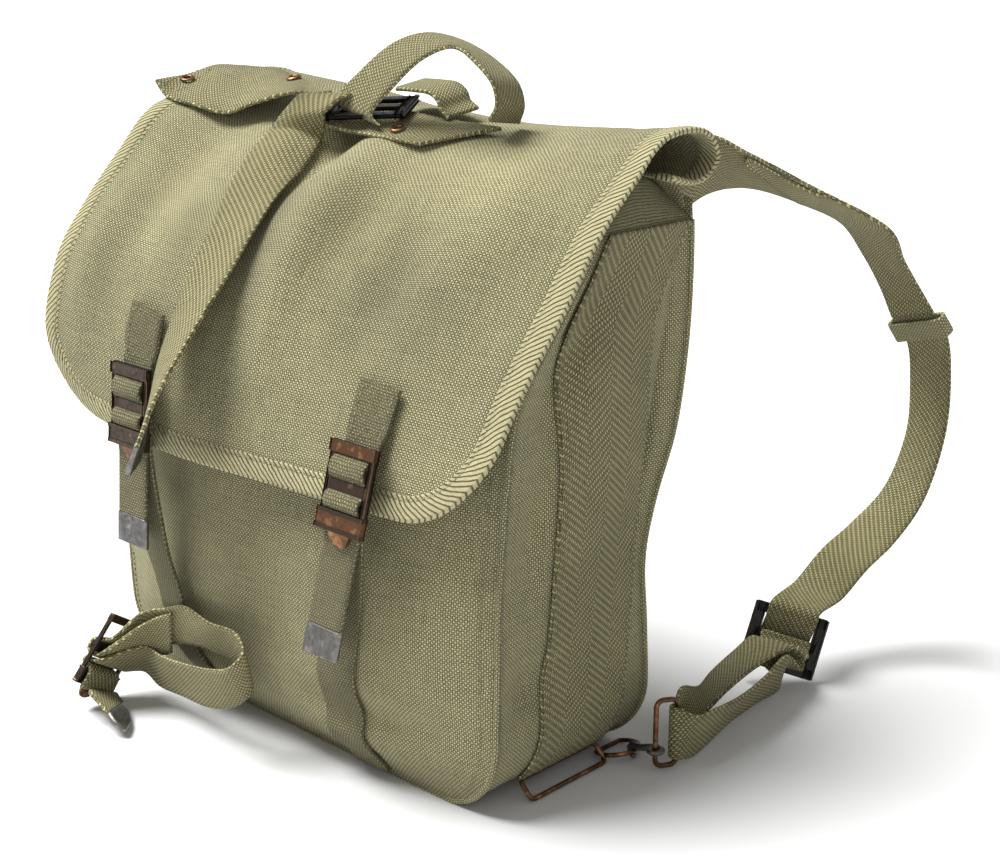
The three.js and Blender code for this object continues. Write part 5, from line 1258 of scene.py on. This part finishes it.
near_wire = loop_middle - loop_across * LOOP_WIDTH / 2
far_wire = loop_middle + loop_across * LOOP_WIDTH / 2
hook_line = unit((near_wire[0] - CORNER_RING_X - CORNER_RING_RADIUS, near_wire[1] - CORNER_RING_Y, 0))
hook_side = np.cross((0, 0, 1), hook_line)
eye_radius = (LOOP_WIRE + HOOK_WIRE) / 2 + 0.8
bend_radius = (RING_WIRE + HOOK_WIRE) / 2 + 0.6
ring_height = RING_WIRE / 2 + CLEARANCE + CORNER_RING_RISE
ring_edge = np.array([CORNER_RING_X + CORNER_RING_RADIUS, CORNER_RING_Y, ring_height])
centre = np.array([near_wire[0], near_wire[1], EYE_HEIGHT])
eye = []
for i in range(HOOK_STOPS):
    turn = math.pi * (0.9 - i * 0.26)
    eye.append(centre + hook_line * math.cos(turn) * eye_radius + hook_side * math.sin(turn) * eye_radius)
bend = []
for i in range(HOOK_STOPS):
    turn = math.pi * (0.32 + i * 0.2)
    upwards = np.array([0, 0, math.sin(turn) * bend_radius])
    bend.append(ring_edge + hook_line * math.cos(turn) * bend_radius + upwards)
hook_path = catmull(np.array(eye[::-1] + bend), [6] * (2 * HOOK_STOPS - 1))
swell = 1 + 0.35 * hill((np.linspace(0, 1, len(hook_path)) - 0.5) / 0.12)
tube("snap_hook_right", hook_path, HOOK_WIRE / 2 * swell, STEEL, ["snap_hook_right"])

# Right shoulder strap
right_pad = Strap("shoulder_pad_right", table_stops(RIGHT_PAD), columns=20)
slider_right = Plane(place_of(0.51, 1.634, 0.075), (0.76, 0.6, -0.28), (-0.1, -0.47, -0.87))


def add_slider(name, plane):
    """Cast frame with a middle bar, its long sides wider than its ends."""
    hw, hh, b, t = SLIDER_WIDTH / 2, SLIDER_HEIGHT / 2, SLIDER_BAR, SLIDER_WALL / 2
    plates(name, plane, [
        (-hh, hh, -hw - 1.2, -hw + b, -t, t, 1.1, BLACKED), (-hh, hh, hw - b, hw + 1.2, -t, t, 1.1, BLACKED),
        (-hh - 0.4, -hh + b, -hw, hw, -t, t, 1.1, BLACKED), (hh - b, hh + 0.4, -hw, hw, -t, t, 1.1, BLACKED),
        (-b / 2, b / 2, -hw + b / 2, hw - b / 2, -t, t, 1.1, BLACKED),
    ], [name])


add_slider("slider_right", slider_right)
on_slider = lambda row: across_stop(slider_right.at(0, *row), slider_right.across, STRAP_WIDTH)
wrap = (LOOP_WIRE + WEBBING_WALL) / 2 + 0.9
square = np.array([loop_across[1], -loop_across[0], 0])
upright = np.array([0, 0, 1.0])
wrap_stops = [
    across_stop(far_wire + square * ahead * wrap - loop_across * beyond * wrap, upright, STRAP_WIDTH)
    for ahead, beyond in ((1, 0), (0.7, 0.7), (0, 1), (-0.7, 0.7), (-1, 0))
]
Strap("shoulder_strap_right", (
    table_stops(RIGHT_STRAP) + [on_slider(r) for r in SLIDER_IN] + table_stops(LOWER_RUN) + wrap_stops
    + table_stops(UPPER_RUN) + [on_slider(r)[::-1] for r in SLIDER_OUT]
))
right_pad.box(3, 40)
right_pad.sew([(-12, -8), (12, -8)], 0.1)
right_pad.sew([(-12, -8), (12, -8)], -0.1)

# Second layer of the pad, folded over towards the narrow strap; its two edges: along the pad, across it
FOLD_LOW = [(115, 24), (128, 20), (140, 10), (166, -7), (176, -11)]
FOLD_HIGH = [(115, 28.2), (120, 29.2), (176, 27.5)]
fold_along = np.linspace(FOLD_LOW[0][0], FOLD_LOW[-1][0], 50)[:, None]
fold_low, fold_high = [np.interp(fold_along, *zip(*rows)) for rows in (FOLD_LOW, FOLD_HIGH)]
fold_share = np.linspace(0, 1, 9)
fold_across = fold_low + (fold_high - fold_low) * fold_share
fold_points, fold_normals = right_pad.at(fold_across, fold_along + 0 * fold_share, FOLD_SIDE * 0.01)
lift = (0.4 + 2.4 * (1 - fold_share[None]) ** 2) * smoothstep(fold_along, 178, 160)
under = fold_points + fold_normals * lift[..., None]
fold_uv = np.stack([fold_across, fold_along + 0 * fold_across], -1)
# Painted shade along the fold's raised low edge; the layer is a little lighter overall
fold_tone = 0.04 - 0.2 * hill(fold_share / 0.08)[None] + 0 * fold_across
wall("pad_fold", under + fold_normals * FOLD_WALL, under, fold_uv, WEBBING, tone=fold_tone)

keeper = Plane(place_of(0.611, 2.318, 0.618), (32, -4, 9), (6.2, 8.6, -16))
keeper_half = STRAP_WIDTH / 2 + WEBBING_WALL / 2 + 4 * CLEARANCE
keeper_stand = WEBBING_WALL + 4 * CLEARANCE
# Once round the keeper: across, out
KEEPER_ROUND = [
    (0, -1), (0.6, -1), (1, -0.9), (1.07, 0), (1, 0.9), (0.5, 1), (-0.5, 1), (-1, 0.9), (-1.07, 0),
    (-1, -0.9), (-0.6, -1), (-0.08, -1),
]
keeper_stops = [
    [keeper.at(across * keeper_half, down * KEEPER_HEIGHT, out * keeper_stand) for down in (-0.5, 0.5)]
    for across, out in KEEPER_ROUND
]
Strap("keeper_right", keeper_stops, CANVAS, columns=6)


# Left shoulder strap over the ridge
def flap_top(x, y):
    i = int(round((np.clip(x / FLAP_WIDTH, -0.5, 0.5) + 0.5) * FLAP_COLUMNS))
    line_y, line_z = FLAP_Y[i], FLAP_Z[i]
    cross = np.nonzero((line_y[:-1] - y) * (line_y[1:] - y) <= 0)[0]
    return max(line_z[cross].max(), line_z[cross + 1].max()) if len(cross) else 0.0


def rest_on_flap(p):
    p = np.array(p, float)
    p[2] = max(p[2], flap_top(p[0], p[1]) + WEBBING_WALL / 2 + proud + REST_LIFT)
    return p


def pad_stops(rows):
    stops = []
    for row in rows:
        near_edge, far_edge = rest_on_flap(place_of(*row[:3])), rest_on_flap(place_of(*row[3:]))
        stops.append([near_edge, rest_on_flap((near_edge + far_edge) / 2), far_edge])
    return np.array(stops)


left_pad_stops, pad_end_stops = pad_stops(LEFT_PAD), pad_stops(PAD_END)
left_pad = Strap("shoulder_pad_left", left_pad_stops, columns=18)
pad_end = Strap("shoulder_pad_end", pad_end_stops, columns=18)
left_pad.box(3, 14)
pad_end.box(4, 16)
slider_left = Plane(place_of(-0.063, 0.195, 1.003), (0.84, 0.54, 0.05), (0.5, -0.78, -0.15))
add_slider("slider_left", slider_left)
top_start = across_stop(np.array([-12.0, 8.0, 330.5]), np.array([29.0, -1, -6]), STRAP_WIDTH)
Strap("top_strap", [top_start] + table_stops(TOP_LOOP))
Strap("top_keeper", table_stops(TOP_KEEPER))

flap_stops = []
for i, (across, from_hem, out, tilt) in enumerate(FLAP_STRAP):
    before, after = FLAP_STRAP[max(i - 1, 0)], FLAP_STRAP[min(i + 1, len(FLAP_STRAP) - 1)]
    step = unit(((after[0] - before[0]) * FLAP_WIDTH, after[1] - before[1]))
    angle = math.radians(tilt)
    row = []
    for share in (-0.5, 0, 0.5):
        flat = share * STRAP_WIDTH * math.cos(angle)
        at = across - step[1] * flat / FLAP_WIDTH
        lifted = out + share * STRAP_WIDTH * math.sin(angle)
        row.append(flap_point(at, flap_length(at) - from_hem - step[0] * flat, lifted))
    flap_stops.append(row)
flap_stops = np.array(flap_stops)
# The long end's first bend at the left slider, in mm: x, y, z, direction across
SLIDER_BEND = [
    (-26, 11, 336, 26, 13, 1), (-31, 6, 341, 27, 11, 2), (-36.5, 1, 340.5, 28, 8, 1),
    (-43.5, -4, 333, 28.5, 3, 0),
]
bend_stops = []
for x, y, z, wx, wy, wz in SLIDER_BEND:
    edges = across_stop(np.array([x, y, z], float), np.array([wx, wy, wz], float), STRAP_WIDTH)
    bend_stops.append([edges[0], edges.mean(0), edges[1]])
Strap("flap_strap", np.concatenate([bend_stops, flap_stops]))
beyond = unit(flap_stops[-1] - flap_stops[-2])
tip_stops = []
for i, reach in enumerate((CLEARANCE, 9, 18)):
    ahead = flap_stops[-1] + beyond * reach
    centre = flap_stops[-1][1] + beyond[1] * reach
    tip_stops.append(ahead + (centre - ahead) * 0.16 * i)
add_tip("flap_strap_tip", tip_stops)

# Loop of strap in front of the left corner
low_plane = Plane(place_of(-0.346, -0.879, 0.1375), (-0.28, 0.78, -0.55), (-0.13, -0.49, -0.86))
add_buckle("low", low_plane, STRAP_WIDTH, -BUCKLE_WALL / 2)
on_low = lambda row: across_stop(low_plane.at(0, *row), low_plane.across, -STRAP_WIDTH)
Strap("low_strap", (
    table_stops(LOW_TAIL) + [on_low(r) for r in LOW_HUMP] + table_stops(LOW_LOOP) + table_stops(LOW_BACK)
    + [on_low(r) for r in LOW_CURL] + table_stops(LOW_END)
))
add_tip("low_strap_tip", table_stops(LOW_TIP))


# Eyelets: radius and height round the section of the rim
EYELET_PROFILE = [
    (2.0, -0.6), (2.1, 0.3), (2.6, 0.75), (3.4, 0.8), (4.1, 0.5), (4.4, 0.0), (4.2, -0.35), (3.0, -0.6),
]


def add_eyelet(name, stops, row, share, stand):
    line = stops[row]
    middle = line[0] + (line[2] - line[0]) * share
    plane = Plane(middle, line[2] - line[0], stops[row + 1][1] - stops[row - 1][1])
    face_up = 1 if plane.out[2] > 0 else -1
    turns = np.arange(EYELET_SIDES) * 2 * math.pi / EYELET_SIDES
    lift = WEBBING_WALL / 2 + stand + 0.35
    points = [
        plane.at(r * math.cos(turn), r * math.sin(turn), face_up * (lift + height))
        for turn in turns for r, height in EYELET_PROFILE
    ]
    size = len(EYELET_PROFILE)
    faces = []
    for i in range(EYELET_SIDES):
        here, there = i * size, ((i + 1) % EYELET_SIDES) * size
        faces += band(here, there, size)
    add_mesh(name, points, faces, np.zeros((len(points), 2)), 0.0, COPPER, [name])


add_eyelet("eyelet_left", left_pad_stops, row=1, share=0.45, stand=1.1)
add_eyelet("eyelet_middle", left_pad_stops, row=5, share=0.75, stand=0.4)
add_eyelet("eyelet_end", pad_end_stops, row=2, share=0.25, stand=1.4)

BODY_SEWING.make("stitches_body", "canvas")
FLAP_SEWING.make("stitches_flap", "canvas")
STRAP_SEWING.make("stitches_straps", "webbing")

# Floor, lights and camera, in metres and degrees; the wide floor reaches nearly to the horizon
FLOOR_WIDTH = 800
FLOOR_GREY = 0.66
SUN_ENERGY = 6.6
SUN_ANGLE = 34
SUN_AHEAD = Vector((0.38, 0.26, -0.90))
FILL_ENERGY = 2
FILL_SIZE = 1.2
FILL_PLACE = Vector((1.4, -1.2, 0.9))
FILL_TARGET = Vector((0, 0, 0.15))
SKY_STRENGTH = 0.42
CAMERA_LENS = 61.2
CAMERA_TURN = 44
CAMERA_PITCH = 17
CAMERA_PLACE = Vector((0.672613, -0.595846, 0.434))

floor_mesh = bpy.data.meshes.new("floor")
corners = [(x * FLOOR_WIDTH / 2, y * FLOOR_WIDTH / 2, 0) for x, y in ((-1, -1), (1, -1), (1, 1), (-1, 1))]
floor_mesh.from_pydata(corners, [], [(0, 1, 2, 3)])
floor = link("floor", floor_mesh)
floor_material, _, floor_shader = new_material("floor", 0.9)
floor_shader.inputs["Base Color"].default_value = (FLOOR_GREY, FLOOR_GREY, FLOOR_GREY, 1)
floor_mesh.materials.append(floor_material)


def add_light(name, kind, energy, ahead):
    data = bpy.data.lights.new(name, kind)
    data.energy = energy
    light = link(name, data)
    light.rotation_euler = ahead.to_track_quat("-Z", "Y").to_euler()
    return light


sun = add_light("sun", "SUN", SUN_ENERGY, SUN_AHEAD)
sun.data.angle = math.radians(SUN_ANGLE)
fill = add_light("fill", "AREA", FILL_ENERGY, FILL_TARGET - FILL_PLACE)
fill.data.shape = "DISK"
fill.data.size = FILL_SIZE
fill.location = FILL_PLACE
world = bpy.data.worlds.new("studio")
world.use_nodes = True
sky = world.node_tree.nodes["Background"]
sky.inputs["Color"].default_value = (1, 1, 1, 1)
sky.inputs["Strength"].default_value = SKY_STRENGTH
bpy.context.scene.world = world
bpy.context.scene.view_settings.view_transform = "Standard"

camera_data = bpy.data.cameras.new("camera")
camera_data.sensor_fit = "HORIZONTAL"
camera_data.sensor_width = 36
camera_data.lens = CAMERA_LENS
camera_data.clip_start = 0.01
camera_data.clip_end = 900
camera = link("camera", camera_data)
turn, pitch = math.radians(CAMERA_TURN), math.radians(CAMERA_PITCH)
ahead = Vector((-math.sin(turn) * math.cos(pitch), math.cos(turn) * math.cos(pitch), -math.sin(pitch)))
right = Vector((math.cos(turn), math.sin(turn), 0))
top = right.cross(ahead)
axes = Matrix((right, top, -ahead)).transposed()
camera.matrix_world = Matrix.Translation(CAMERA_PLACE) @ axes.to_4x4()
bpy.context.scene.camera = camera
